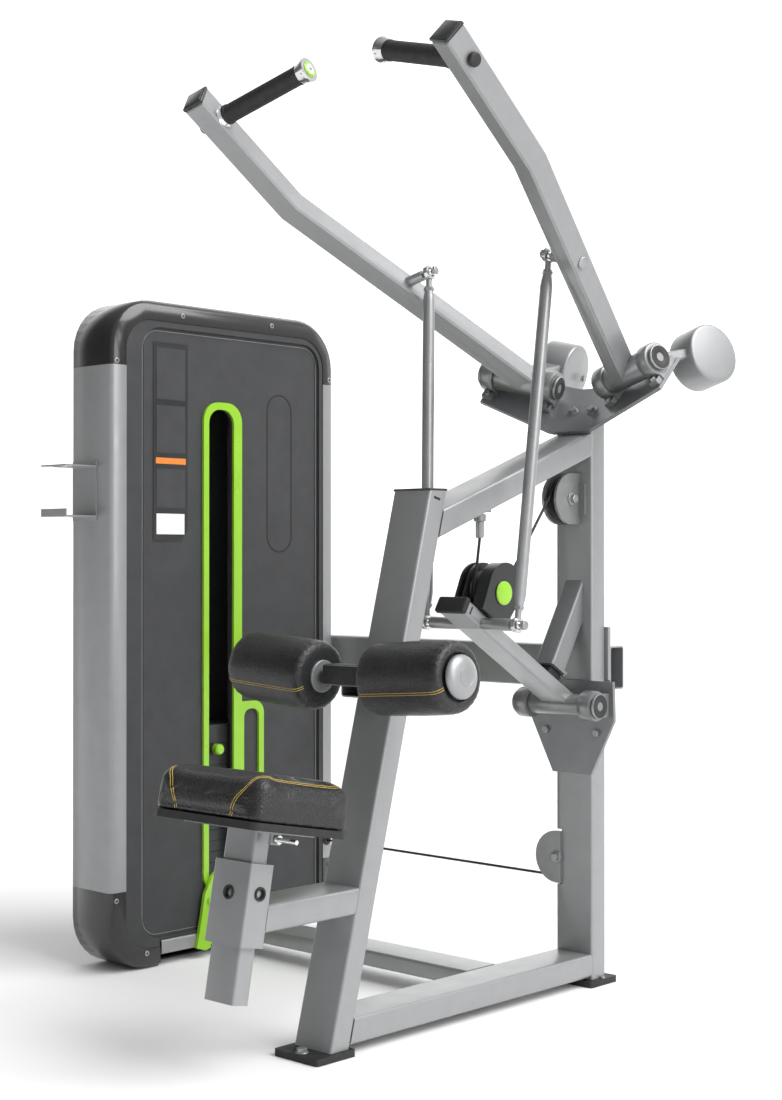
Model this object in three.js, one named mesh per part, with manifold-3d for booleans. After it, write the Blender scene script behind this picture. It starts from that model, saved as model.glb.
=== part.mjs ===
// Lat pulldown machine with converging arms, a seat, thigh rollers and a shrouded weight tower.
// Units are millimetres, +Z is up, the user sits facing +Y and the weight tower stands at -X.
import * as THREE from 'three';
import { mergeVertices } from 'three/addons/utils/BufferGeometryUtils.js';
import Module from 'manifold-3d';

const wasm = await Module();
wasm.setup();

// ---------------------------------------------------------------- driving dimensions
const GAP = 0.3;                  // clearance left between touching pieces
const WALL = 3;                   // wall of the steel tubes
const BIG = 5000;                 // side of the blocks that trim with a plane

// The machine's own layout has X = 0 in its middle plane; this shift brings the
// origin to the middle of the footprint.
const SHIFT = new THREE.Vector3(287.7, -413, 0);

const TUBE_W = 100;               // main tube, across
const TUBE_D = 50;                // main tube, deep
const FOOT_TOP = 14;              // height of the rubber feet
const LEAN = 14.7;                // front post leans back, degrees
const POST_TOP = 1079;            // top of the front post
const REAR_Y = 812;               // front face of the rear post
const BEAM_RISE = 20;             // upper beam climbs to the rear, degrees
const BEAM_TOP = { y: 812, z: 1221 };

const SEAT_LEAN = 10.5;           // seat post leans back, degrees
const SEAT = { y: -184, z: 317 }; // a point on the seat post's middle line
const CUSHION = { w: 290, l: 242, t: 84, r: 34 };

// Thigh rollers: their shafts rise outwards, so `z` is the height of the shafts' meeting point.
const ROLLER = { y: 100, z: 707, rise: 3.9, r: 69, x0: 70, length: 221 };

// One arm, +X side. Its tube is bent once and turns on a slanted barrel.
const PIVOT_IN = new THREE.Vector3(58, 836, 1327);
const PIVOT_OUT = new THREE.Vector3(246, 792, 1372);
const ARM_ROOT = new THREE.Vector3(130, 819, 1346);
const ARM_BEND = new THREE.Vector3(324, 254, 1691);
const ARM_TIP = new THREE.Vector3(340, 3, 1873);
const ARM_TUBE = 50;
const GRIP_BACK = 60;             // grip's distance from the arm's tip
const STUD_AT = 390;              // tie rod stud, along the arm from its root
const DRUM = { r: 68, l: 76, centre: new THREE.Vector3(198, 1026, 1392) };

const LEVER_PIVOT = { y: 759, z: 623, x: 112 };
const LEVER_RISE = 31;            // lever's rest angle above the horizontal, degrees
const LEVER_LENGTH = 415;
const LEVER_TUBE = { w: 70, d: 32, above: 9 };  // its middle line runs above the pivot
const CROSSBAR = { at: 350, above: 5, x: 108 }; // from the pivot, along and square to the lever
const BALL_TOP = new THREE.Vector3(165, 514, 1563);
const BALL_LOW_X = 124;

// Cable route: anchor, lever sheave, upper sheave, down the rear post, tower, weight stack.
const CABLE_R = 3;
const SHEAVE_R = 45;              // radius of the cable's middle on a large sheave
const LEVER_SHEAVE_R = 40;
const SMALL_SHEAVE_R = 35;
const SHEAVE_HALF = 9;
const LEVER_SHEAVE = { y: 512, z: 873 };
const UPPER_SHEAVE = { y: 780, z: 1075 };
const CABLE_Y = UPPER_SHEAVE.y + SHEAVE_R;
const LOWER_SHEAVE = { x: -45, z: 276 };
const ANCHOR = { y: 490, z: 986 };

const TOWER = { x0: -945, x1: -795, y0: 140, y1: 850, top: 1540, r: 118 };
const BAND = 45;                  // width of the tower's black rim
const BAND_REAR = 38;
const COVER_Z0 = 186;             // joints between the silver posts and the black covers
const COVER_Z1 = 1384;
const STACK = { x: -878, y: 473.5, w: 300, d: 104, z0: 84, plate: 25 };
const RESTING = 15;               // plates that stay down
const LIFTED = 2;                 // plates on the selector stem, with the head plate
const STACK_ROD = 105;            // guide rods, from the stack's middle
const TOP_SHEAVE_Z = 1452;

// ---------------------------------------------------------------- materials
const paint = (color, roughness, metalness) => () =>
  new THREE.MeshStandardMaterial({ color, roughness, metalness, flatShading: true });
const silver = paint(0x9b9da0, 0.42, 0.6);
const castGray = paint(0x6d7073, 0.45, 0.6);
const chrome = paint(0xc9cbcd, 0.16, 1);
const steel = paint(0x7c7f82, 0.35, 0.9);
const shellBlack = paint(0x1c1c1d, 0.45, 0);
const panelGray = paint(0x47484a, 0.7, 0);
const lime = paint(0x8fcf2c, 0.4, 0);
const rubber = paint(0x161617, 0.75, 0);
const leather = paint(0x1d1d1e, 0.55, 0);
const ironBlack = paint(0x232426, 0.55, 0.3);

// ---------------------------------------------------------------- helpers
const vec = (x, y, z) => new THREE.Vector3(x, y, z);
const rad = THREE.MathUtils.degToRad;
const X = vec(1, 0, 0);
const Y = vec(0, 1, 0);
const Z = vec(0, 0, 1);
const along = (a, b) => b.clone().sub(a).normalize();
const step = (p, direction, length) => p.clone().addScaledVector(direction, length);

function basis(origin, x, y) {
  return new THREE.Matrix4().makeBasis(x, y, vec(0, 0, 0).crossVectors(x, y)).setPosition(origin);
}

// Closed position-only mesh with merged corners, turned to face outwards.
function closed(geometry) {
  const bare = geometry.clone();
  for (const name of Object.keys(bare.attributes)) {
    if (name !== 'position') bare.deleteAttribute(name);
  }
  const merged = mergeVertices(bare, 1e-3);
  const p = merged.attributes.position.array;
  const old = merged.index.array;
  const tris = [];
  let volume = 0;
  for (let i = 0; i < old.length; i += 3) {
    const [a, b, c] = [old[i], old[i + 1], old[i + 2]];
    if (a === b || b === c || c === a) continue;
    tris.push(a, b, c);
    const [u, v, w] = [a, b, c].map((k) => vec(p[3 * k], p[3 * k + 1], p[3 * k + 2]));
    volume += u.dot(v.cross(w));
  }
  if (volume < 0) {
    for (let i = 0; i < tris.length; i += 3) [tris[i], tris[i + 1]] = [tris[i + 1], tris[i]];
  }
  merged.setIndex(tris);
  return merged;
}

function toSolid(geometry) {
  const g = closed(geometry);
  const vertProperties = new Float32Array(g.attributes.position.array);
  const triVerts = new Uint32Array(g.index.array);
  return new wasm.Manifold(new wasm.Mesh({ numProp: 3, vertProperties, triVerts }));
}

function fromSolid(solid) {
  const { vertProperties, triVerts } = solid.getMesh();
  const g = new THREE.BufferGeometry();
  g.setAttribute('position', new THREE.Float32BufferAttribute(vertProperties, 3));
  g.setIndex(Array.from(triVerts));
  return g;
}

const join = (first, ...rest) =>
  fromSolid(rest.reduce((body, g) => body.add(toSolid(g)), toSolid(first)));
const cut = (first, ...tools) =>
  fromSolid(tools.reduce((body, g) => body.subtract(toSolid(g)), toSolid(first)));
const common = (a, b) => fromSolid(toSolid(a).intersect(toSolid(b)));

function mirrored(geometry) {
  return closed(geometry.clone().scale(-1, 1, 1));
}

const box = (x0, x1, y0, y1, z0, z1) =>
  new THREE.BoxGeometry(x1 - x0, y1 - y0, z1 - z0)
    .translate((x0 + x1) / 2, (y0 + y1) / 2, (z0 + z1) / 2);

// Everything on the normal's side of a plane.
function beyond(point, normal) {
  const turn = new THREE.Quaternion().setFromUnitVectors(Z, normal.clone().normalize());
  return new THREE.BoxGeometry(BIG, BIG, BIG)
    .translate(0, 0, BIG / 2)
    .applyQuaternion(turn)
    .translate(point.x, point.y, point.z);
}

function roundRect(w, h, r, segments = 3) {
  const shape = new THREE.Shape();
  for (const [sx, sy, start] of [[1, 1, 0], [-1, 1, 90], [-1, -1, 180], [1, -1, 270]]) {
    for (let i = 0; i <= segments; i++) {
      const a = rad(start + (90 * i) / segments);
      const x = sx * (w / 2 - r) + r * Math.cos(a);
      const y = sy * (h / 2 - r) + r * Math.sin(a);
      if (shape.curves.length || shape.currentPoint.x || shape.currentPoint.y) shape.lineTo(x, y);
      else shape.moveTo(x, y);
    }
  }
  shape.closePath();
  return shape;
}

function polygon(points) {
  return new THREE.Shape(points.map(([x, y]) => new THREE.Vector2(x, y)));
}

const extrude = (shape, depth, options = {}) =>
  new THREE.ExtrudeGeometry(shape, { depth, bevelEnabled: false, curveSegments: 12, ...options });

// Solid bar of any section from a to b; side is the direction of the section's x.
function bar(shape, a, b, side) {
  const z = along(a, b);
  const y = vec(0, 0, 0).crossVectors(z, side).normalize();
  const x = vec(0, 0, 0).crossVectors(y, z);
  return extrude(shape, a.distanceTo(b)).applyMatrix4(basis(a, x, y));
}

// Rectangular tube with rounded corners and an open bore.
function tube(a, b, w, d, side = X, wall = WALL) {
  const shape = roundRect(w, d, 6);
  shape.holes.push(roundRect(w - 2 * wall, d - 2 * wall, 3, 1));
  return bar(shape, a, b, side);
}

function round(a, b, r, segments = 20, r2 = r) {
  const turn = new THREE.Quaternion().setFromUnitVectors(Y, along(a, b));
  const middle = a.clone().add(b).multiplyScalar(0.5);
  return new THREE.CylinderGeometry(r2, r, a.distanceTo(b), segments)
    .applyQuaternion(turn)
    .translate(middle.x, middle.y, middle.z);
}

// Body of revolution: profile points are [radius, distance along the axis].
function turned(profile, origin, direction, segments = 28) {
  const points = profile.map(([r, t]) => new THREE.Vector2(r, t));
  const turn = new THREE.Quaternion().setFromUnitVectors(Y, direction);
  return new THREE.LatheGeometry(points, segments)
    .applyQuaternion(turn)
    .translate(origin.x, origin.y, origin.z);
}

const machine = new THREE.Group();
machine.position.copy(SHIFT);

function piece(name, geometry, material, group = machine) {
  const shape = closed(geometry);
  shape.computeVertexNormals();
  const mesh = new THREE.Mesh(shape, material());
  mesh.name = name;
  group.add(mesh);
  return mesh;
}

function pair(name, geometry, material) {
  piece(`right_${name}`, geometry, material);
  piece(`left_${name}`, mirrored(geometry), material);
}

// ---------------------------------------------------------------- frame tubes
const postUp = vec(0, Math.sin(rad(LEAN)), Math.cos(rad(LEAN)));
const postRear = vec(0, Math.cos(rad(LEAN)), -Math.sin(rad(LEAN)));
const postAt = (z) =>
  vec(0, TUBE_D / 2 / Math.cos(rad(LEAN)) + (z - FOOT_TOP) * Math.tan(rad(LEAN)), z);
const postRearFace = step(postAt(500), postRear, TUBE_D / 2 + GAP);
const postFrontFace = step(postAt(500), postRear, -TUBE_D / 2 - GAP);

// Plane of the arm bracket's middle plate: it lies back at 45 degrees on the post's top.
const plateUp = vec(0, Math.SQRT1_2, Math.SQRT1_2);
const plateOut = vec(0, -Math.SQRT1_2, Math.SQRT1_2);
const PLATE = { y: 798, z: 1226, t: 8, h: 146, bend: 46 };
const plateFoot = vec(0, PLATE.y, PLATE.z);

function frame() {
  const front = tube(postAt(-60), postAt(POST_TOP + 60), TUBE_W, TUBE_D);
  piece('front_post', cut(front, beyond(vec(0, 0, FOOT_TOP), vec(0, 0, -1)),
    beyond(vec(0, 0, POST_TOP), Z)), silver);

  const upperSlot = box(-13, 13, REAR_Y - 5, REAR_Y + WALL + 5, 1018, 1132);
  const lowerSlot = box(-55, -34, REAR_Y - 5, CABLE_Y + 24, 214, 338);
  const rear = tube(vec(0, REAR_Y + TUBE_D / 2, FOOT_TOP), vec(0, REAR_Y + TUBE_D / 2, 1400),
    TUBE_W, TUBE_D);
  const underPlate = step(plateFoot, plateOut, -PLATE.t - GAP);
  piece('rear_post', cut(rear, beyond(underPlate, plateOut), upperSlot, lowerSlot), silver);

  const rise = vec(0, Math.cos(rad(BEAM_RISE)), Math.sin(rad(BEAM_RISE)));
  const down = vec(0, Math.sin(rad(BEAM_RISE)), -Math.cos(rad(BEAM_RISE)));
  const beamEnd = step(vec(0, BEAM_TOP.y, BEAM_TOP.z), down, TUBE_D / 2);
  const beam = tube(step(beamEnd, rise, -650), step(beamEnd, rise, 60), TUBE_W, TUBE_D);
  piece('upper_beam', cut(beam, beyond(postRearFace, postRear.clone().negate()),
    beyond(vec(0, REAR_Y - GAP, 0), Y)), silver);

  const base = tube(vec(0, -100, 45), vec(0, REAR_Y - GAP, 45), TUBE_W, TUBE_D);
  piece('base_beam', cut(base, beyond(postRearFace, postRear.clone().negate())), silver);

  piece('lower_cross_tube', tube(vec(TOWER.x1 + GAP, 553, 52), vec(-TUBE_W / 2 - GAP, 553, 52),
    96, 36, Y), silver);

  const behind = [REAR_Y + TUBE_D + GAP, 871];
  const cross = tube(vec(-905, 895, 699), vec(57, 895, 699), 50, 96, Y);
  const postPlate = box(-48, 57, ...behind, 673, 791);
  const towerPlate = box(-905, -835, TOWER.y1 + GAP, behind[1], 660, 738);
  piece('upper_cross_tube', join(cross, postPlate, towerPlate), silver);

  const footPlate = extrude(roundRect(118, 104, 6), FOOT_TOP - GAP).translate(0, 8, 0);
  const bolt = round(vec(0, -26, -5), vec(0, -26, 30), 7, 16);
  piece('front_foot', cut(footPlate, bolt), rubber);
  piece('rear_foot', extrude(roundRect(122, 96, 6), FOOT_TOP - GAP).translate(0, 842, 0), rubber);
}

// ---------------------------------------------------------------- seat
const seatUp = vec(0, Math.sin(rad(SEAT_LEAN)), Math.cos(rad(SEAT_LEAN)));
const seatRear = vec(0, Math.cos(rad(SEAT_LEAN)), -Math.sin(rad(SEAT_LEAN)));
const seatAt = (t) => step(vec(0, SEAT.y, SEAT.z), seatUp, t);

function seat() {
  const sleeveShape = roundRect(100, 58, 5);
  sleeveShape.holes.push(roundRect(81.4, 41.4, 3, 2));
  const sleeve = bar(sleeveShape, seatAt(-75), seatAt(75), X);
  const arm = cut(tube(vec(0, -260, 290), vec(0, 200, 290), 100, 50),
    beyond(postFrontFace, postRear), beyond(step(seatAt(0), seatRear, 27), seatRear.clone().negate()));
  const pinHoles = [
    round(vec(0, -300, 340), vec(0, -190, 340), 9, 16),
    round(vec(35, SEAT.y + 5, 338), vec(65, SEAT.y + 5, 338), 9, 16)];
  piece('seat_support', cut(join(sleeve, arm), ...pinHoles), silver);

  const post = tube(seatAt(-178), seatAt(134), 80, 40);
  const head = bar(roundRect(200, 150, 8), seatAt(133), seatAt(139), X);
  const board = bar(roundRect(CUSHION.w - 16, CUSHION.l - 16, 28), seatAt(138.5), seatAt(150), X);
  const ear = bar(roundRect(10, 24, 3), seatAt(112), seatAt(134), X).translate(70, 0, 0);
  const earHole = round(step(vec(60, 0, 0), seatAt(122), 1), step(vec(80, 0, 0), seatAt(122), 1), 3.4, 12);
  piece('seat_post', cut(join(post, head, board, ear), earHole), silver);

  const cushion = new THREE.ExtrudeGeometry(
    roundRect(CUSHION.w - 20, CUSHION.l - 20, CUSHION.r - 10, 4),
    { depth: CUSHION.t - 20, bevelSize: 10, bevelThickness: 10, bevelSegments: 3 })
    .applyMatrix4(basis(seatAt(160 + GAP), X, seatRear));
  piece('seat_cushion', cushion, leather);

  const pin = seatAt(122);
  const release = join(round(step(pin, X, 62), step(pin, X, 86), 3, 12),
    round(step(pin, X, 83), step(pin, X, 128), 4.5, 12),
    round(step(pin, X, 78), step(pin, X, 84), 8, 16));
  piece('seat_release', release, chrome);
}

// ---------------------------------------------------------------- thigh rollers
function rollers() {
  const middle = vec(0, ROLLER.y, ROLLER.z);
  const outwards = vec(Math.cos(rad(ROLLER.rise)), 0, Math.sin(rad(ROLLER.rise)));
  const { length } = ROLLER;
  const neck = cut(tube(vec(0, 50, 699), vec(0, 260, 699), 50, 50),
    beyond(postFrontFace, postRear), beyond(vec(0, 104, 0), Y.clone().negate()));
  const block = box(-50, 50, 78, 122, 698, 737);
  const shaft = round(step(middle, outwards, 10),
    step(middle, outwards, ROLLER.x0 + length - 6), 12.5, 18);
  piece('roller_bracket', join(neck, block, shaft, mirrored(shaft)), steel);

  const origin = step(middle, outwards, ROLLER.x0);
  pair('roller_hub', turned([[0, length - 2], [13, length - 2], [13, 0], [32, 0], [32, 5], [22, 5],
    [22, length - 6], [41, length - 6], [41, length + 1], [34, length + 8], [18, length + 12],
    [0, length + 13]], origin, outwards, 18), chrome);
  const inside = 22 + GAP;
  const face = ROLLER.r - 13;
  pair('roller_pad', turned([[inside, 5.3], [face, 5.3], [ROLLER.r - 3, 10], [ROLLER.r, 20],
    [ROLLER.r, length - 22], [ROLLER.r - 4, length - 11], [face, length - 6.3],
    [inside, length - 6.3], [inside, 5.3]], origin, outwards, 18), leather);
}

// ---------------------------------------------------------------- arm bracket and bearings
const armAxis = along(PIVOT_IN, PIVOT_OUT);
const wingUp = plateUp.clone().addScaledVector(armAxis, -plateUp.dot(armAxis)).normalize();
const wingFrame = basis(PIVOT_IN, armAxis, wingUp);     // x along the pivot, z out of the wing
const SEAT_HEIGHT = 38;           // pivot axis above the wing
const BEARING = { r: 36, length: 40, bore: 12.3, cap: 26, span: 198 };

function armBracket() {
  const wing = 214;
  const fold = Math.atan2(plateOut.dot(armAxis), armAxis.x);
  const [c, s] = [Math.cos(fold), Math.sin(fold)];
  const half = [[PLATE.bend, 0], [PLATE.bend + wing * c, wing * s],
    [PLATE.bend + wing * c + PLATE.t * s, wing * s - PLATE.t * c],
    [PLATE.bend + PLATE.t * s / 2, -PLATE.t]];
  const other = half.slice().reverse().map(([x, y]) => [-x, y]);
  const top = step(plateFoot, plateUp, PLATE.h);
  const sheet = extrude(polygon([...half, ...other]), PLATE.h).applyMatrix4(basis(top, X, plateOut));
  const taper = vec(0.24, 0, 0).addScaledVector(plateUp, -0.97);
  const corner = step(vec(62, 0, 0), plateFoot, 1);
  const otherTaper = vec(-taper.x, taper.y, taper.z);
  const otherCorner = vec(-corner.x, corner.y, corner.z);
  piece('arm_bracket', cut(sheet, beyond(corner, taper), beyond(otherCorner, otherTaper)), steel);
}

// A bearing block on the wing; its closed end faces away from the barrel.
function bearing(from, to) {
  const inward = Math.sign(to - from);
  const profile = [[0, 6], [BEARING.bore, 6], [BEARING.bore, BEARING.length], [BEARING.r - 3, BEARING.length],
    [BEARING.r, BEARING.length - 3], [BEARING.r, 9], [BEARING.cap, 9], [BEARING.cap, 0], [0, 0]];
  const ring = turned(profile, vec(from, 0, 0), vec(inward, 0, 0), 16);
  const [x0, x1] = [from + inward * 9, from + inward * BEARING.length].sort((a, b) => a - b);
  const foot = box(x0, x1, -26, 26, -SEAT_HEIGHT + GAP, -16);
  const flange = box(x0 + 3, x1 - 3, -44, 40, -SEAT_HEIGHT + GAP, -SEAT_HEIGHT + 13);
  const bolts = [-37, 33].map((y) =>
    round(vec((x0 + x1) / 2, y, -SEAT_HEIGHT + 5), vec((x0 + x1) / 2, y, -SEAT_HEIGHT + 20), 7, 6));
  const bore = round(vec(from + inward * 6, 0, 0), vec(from + inward * 60, 0, 0), BEARING.bore + GAP, 14);
  return cut(join(ring, foot, flange, ...bolts), bore).applyMatrix4(wingFrame);
}

// ---------------------------------------------------------------- arms
const lowRun = along(ARM_ROOT, ARM_BEND);
const highRun = along(ARM_BEND, ARM_TIP);
const bendNormal = vec(0, 0, 0).crossVectors(lowRun, highRun).normalize();
const bendSide = vec(0, 0, 0).crossVectors(bendNormal, lowRun);
const gripRoot = step(ARM_TIP, highRun, -GRIP_BACK);
const gripDirection = along(gripRoot, vec(96, 90, 1909));
const GRIP = { from: 32, to: 228, end: 250, core: 14, r: 19 };
const studRoot = step(ARM_ROOT, lowRun, STUD_AT);
const studDirection = along(studRoot, BALL_TOP);
const studReach = studRoot.distanceTo(BALL_TOP);
const ballAt = (centre, r) =>
  new THREE.SphereGeometry(r, 10, 6).translate(centre.x, centre.y, centre.z);

// The bent tube's outline, inset from the outside face, as a slab between two heights.
function bentSlab(inset, height, extra, start = 0) {
  const low = ARM_ROOT.distanceTo(ARM_BEND);
  const high = ARM_BEND.distanceTo(ARM_TIP) + extra;
  const angle = Math.acos(lowRun.dot(highRun));
  const half = ARM_TUBE / 2 - inset;
  const miter = half * Math.tan(angle / 2);
  const end = [low + high * Math.cos(angle), high * Math.sin(angle)];
  const across = [-Math.sin(angle) * half, Math.cos(angle) * half];
  const outline = polygon([[start, -half], [low + miter, -half], [end[0] - across[0], end[1] - across[1]],
    [end[0] + across[0], end[1] + across[1]], [low - miter, half], [start, half]]);
  const depth = height - 2 * inset;
  return [outline, depth];
}

function arm() {
  const plane = basis(ARM_ROOT, lowRun, bendSide);
  const [outer, depth] = bentSlab(4, ARM_TUBE, -4);
  const softEdge = { bevelEnabled: true, bevelSize: 4, bevelThickness: 4, bevelSegments: 1 };
  const outside = extrude(outer, depth, softEdge).translate(0, 0, -depth / 2).applyMatrix4(plane);
  const [inner, bore] = bentSlab(WALL, ARM_TUBE, 40, 20);
  const inside = extrude(inner, bore).translate(0, 0, -bore / 2).applyMatrix4(plane);
  const barrel = round(step(PIVOT_IN, armAxis, 42), step(PIVOT_IN, armAxis, 156), 30, 20);
  const shaft = round(step(PIVOT_IN, armAxis, 8), step(PIVOT_IN, armAxis, 190), 12, 14);

  const middle = step(PIVOT_IN, armAxis, 99);
  const toDrum = along(middle, DRUM.centre);
  const drumUp = vec(0, 0, 0).crossVectors(armAxis, toDrum).normalize();
  const lift = drumUp.dot(Z) > 0 ? 13 : -13;
  const strap = bar(roundRect(48, 22, 3, 1), step(middle, drumUp, lift),
    step(DRUM.centre, drumUp, lift), armAxis);
  const drumSpace = round(step(DRUM.centre, armAxis, -100), step(DRUM.centre, armAxis, 100), DRUM.r + 1.5, 24);

  const stud = round(studRoot, step(studRoot, studDirection, studReach - 14), 11, 14);
  const pin = round(studRoot, step(studRoot, studDirection, studReach + 20), 5, 8);
  const nut = round(step(BALL_TOP, studDirection, 14), step(BALL_TOP, studDirection, 20), 8, 6);
  const handle = round(gripRoot, step(gripRoot, gripDirection, GRIP.end), GRIP.core, 14);
  const collar = turned([[0, 0], [20, 0], [25, 18], [23, 22], [0, 22]],
    step(gripRoot, gripDirection, GRIP.to), gripDirection, 14);
  return join(cut(outside, inside), barrel, shaft, cut(strap, drumSpace), stud, pin,
    ballAt(BALL_TOP, 9), nut, handle, collar);
}

function grip() {
  const inside = GRIP.core + GAP;
  const [a, b] = [GRIP.from, GRIP.to - GAP];
  return turned([[inside, a], [GRIP.r + 1, a], [GRIP.r + 1, a + 8], [GRIP.r, a + 9], [GRIP.r, b],
    [inside, b], [inside, a]], gripRoot, gripDirection, 14);
}

function drum() {
  const half = DRUM.l / 2;
  return turned([[0, -half], [DRUM.r - 4, -half], [DRUM.r, -half + 4], [DRUM.r, half - 4],
    [DRUM.r - 4, half], [0, half]], DRUM.centre, armAxis, 24);
}

// ---------------------------------------------------------------- lever and tie rods
const leverPivot = vec(0, LEVER_PIVOT.y, LEVER_PIVOT.z);
const leverRun = vec(0, -Math.cos(rad(LEVER_RISE)), Math.sin(rad(LEVER_RISE)));
const leverUp = vec(0, Math.sin(rad(LEVER_RISE)), Math.cos(rad(LEVER_RISE)));
const leverAt = (t, up = 0) => step(step(leverPivot, leverRun, t), leverUp, up);

function tieRod() {
  const low = step(leverAt(CROSSBAR.at, CROSSBAR.above), X, BALL_LOW_X);
  const run = along(low, BALL_TOP);
  const length = low.distanceTo(BALL_TOP);
  const shank = turned([[0, 13], [6, 13], [6, 30], [9, 30], [9, 40], [12.5, 62], [12.5, length - 62],
    [9, length - 40], [9, length - 30], [6, length - 30], [6, length - 13], [0, length - 13]], low, run, 12);
  const eye = (centre, axis, bore) => turned([[bore, -5], [16, -5], [16, 5], [bore, 5], [bore, -5]],
    centre, axis, 14);
  return join(shank, eye(low, X, 9.8), eye(BALL_TOP, studDirection, 11.3));
}

function lever() {
  const t = LEVER_TUBE;
  const tubePart = tube(leverAt(0, t.above), leverAt(LEVER_LENGTH, t.above), t.w, t.d);
  const barrelEnd = LEVER_PIVOT.x - BEARING.length - 3;
  const barrel = round(step(leverPivot, X, -barrelEnd), step(leverPivot, X, barrelEnd), 24, 20);
  const shaftEnd = LEVER_PIVOT.x - 7;
  const shaft = round(step(leverPivot, X, -shaftEnd), step(leverPivot, X, shaftEnd), 12, 14);
  const cross = leverAt(CROSSBAR.at, CROSSBAR.above);
  const bars = [[CROSSBAR.x, 12.5, 14], [BALL_LOW_X + 20, 5, 8]].map(([reach, r, n]) =>
    round(step(cross, X, -reach), step(cross, X, reach), r, n));
  const ends = [-1, 1].flatMap((side) => [
    ballAt(step(cross, X, side * BALL_LOW_X), 9),
    round(step(cross, X, side * (BALL_LOW_X + 14)), step(cross, X, side * (BALL_LOW_X + 22)), 9, 6)]);
  return join(tubePart, barrel, shaft, ...bars, ...ends);
}

function leverMount() {
  const plate = extrude(polygon([[-112, 674], [-115, 588], [-53, 467], [53, 467], [115, 588], [112, 674]]), 8)
    .applyMatrix4(basis(vec(0, REAR_Y - GAP, 0), X, Z));
  const blocks = [-1, 1].map((side) => {
    const ring = turned([[0, 6], [BEARING.bore, 6], [BEARING.bore, BEARING.length], [33, BEARING.length],
      [33, 9], [25, 9], [25, 0], [0, 0]], vec(side * LEVER_PIVOT.x, leverPivot.y, leverPivot.z),
    vec(-side, 0, 0), 16);
    const [x0, x1] = [side * (LEVER_PIVOT.x - BEARING.length), side * (LEVER_PIVOT.x - 9)]
      .sort((a, b) => a - b);
    const foot = box(x0, x1, leverPivot.y, REAR_Y - GAP - 4, leverPivot.z - 26, leverPivot.z + 26);
    const bore = round(vec(side * 60, leverPivot.y, leverPivot.z),
      vec(side * (LEVER_PIVOT.x - 6), leverPivot.y, leverPivot.z), BEARING.bore + GAP, 14);
    return cut(join(ring, foot), bore);
  });
  return join(plate, ...blocks);
}

// The strut that the lever's top rests under: welded to the post, square to the lever.
function stopStrut() {
  const foot = leverAt(70, LEVER_TUBE.above + LEVER_TUBE.d / 2 + 30);
  const strut = tube(foot, step(foot, leverUp, 400), 50, 50);
  const shoe = bar(roundRect(58, 60, 3, 1), step(foot, leverUp, -6), step(foot, leverUp, 1), X);
  return cut(join(strut, shoe), beyond(vec(0, REAR_Y - GAP, 0), Y));
}

// ---------------------------------------------------------------- sheaves, guards and cable
function sheave(centre, axis, radius, bore) {
  const [rim, groove] = [radius + 5, radius - CABLE_R - 1];
  const w = SHEAVE_HALF;
  return turned([[bore, -w], [rim, -w], [groove, -4], [groove, 4], [rim, w], [bore, w], [bore, -w]],
    centre, axis, 18);
}

// D-shaped guard plate, square to x, round at the top and flat at the base.
function guardPlate(x0, x1, radius, base, halfBase, matrix) {
  const shape = new THREE.Shape();
  shape.moveTo(halfBase, base);
  shape.lineTo(radius, -8);
  shape.absarc(0, 0, radius, -0.14, Math.PI + 0.14, false);
  shape.lineTo(-halfBase, base);
  shape.closePath();
  return extrude(shape, x1 - x0).translate(0, 0, x0).applyMatrix4(matrix);
}

function guards() {
  const sheaveLow = vec(0, LEVER_SHEAVE.y, LEVER_SHEAVE.z);
  const guardCentre = sheaveLow.clone().add(vec(0, 8, 10));
  const onLever = basis(guardCentre, leverRun.clone().negate(), leverUp);
  const leverTop = LEVER_TUBE.above + LEVER_TUBE.d / 2 + GAP;
  const base = leverTop - guardCentre.clone().sub(leverPivot).dot(leverUp);
  const plates = [[15, 46], [-21, -15], [-40, -34]].map(([a, b]) =>
    guardPlate(a, b, 52, base, 42, onLever));
  const bridge = box(-42, 42, base, base + 6, -40, 46).applyMatrix4(onLever);
  const axle = round(step(sheaveLow, X, -38), step(sheaveLow, X, 44), 8, 20);
  piece('lever_guard', join(...plates, bridge, axle), ironBlack);
  piece('lever_sheave', sheave(sheaveLow, X, LEVER_SHEAVE_R, 8 + GAP), ironBlack);

  const high = vec(0, UPPER_SHEAVE.y, UPPER_SHEAVE.z);
  const onPost = basis(high, Z, Y.clone().negate());
  const back = -(REAR_Y - GAP - UPPER_SHEAVE.y);
  const cheeks = [[14, 20], [-20, -14]].map(([a, b]) => guardPlate(a, b, 57, back, 57, onPost));
  const flanges = [-1, 1].map((side) => box(Math.min(side * 14, side * 36), Math.max(side * 14, side * 36),
    REAR_Y - 8, REAR_Y - GAP, 1040, 1110));
  const highAxle = round(step(high, X, -18), step(high, X, 18), 8, 20);
  piece('upper_guard', join(...cheeks, ...flanges, highAxle), castGray);
  piece('upper_sheave', sheave(high, X, SHEAVE_R, 8 + GAP), ironBlack);

  const low = vec(LOWER_SHEAVE.x, CABLE_Y, LOWER_SHEAVE.z);
  const face = round(vec(low.x, 805, low.z), vec(low.x, REAR_Y - GAP, low.z), 58, 32);
  const square = box(low.x, low.x + 40, 805, REAR_Y - GAP, low.z - 58, low.z + 58);
  const rear = cut(round(vec(low.x, 839, low.z), vec(low.x, 845, low.z), 54, 32),
    box(low.x + 9, 200, 830, 850, 0, 500));
  const lowAxle = round(vec(low.x, 806, low.z), vec(low.x, 844, low.z), 8, 20);
  const trimmed = cut(join(face, square), box(low.x + 12, 200, 800, 820, 0, 500));
  piece('lower_guard', join(trimmed, rear, lowAxle), castGray);
  piece('lower_sheave', sheave(low, Y, SHEAVE_R, 8 + GAP), ironBlack);
}

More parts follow.
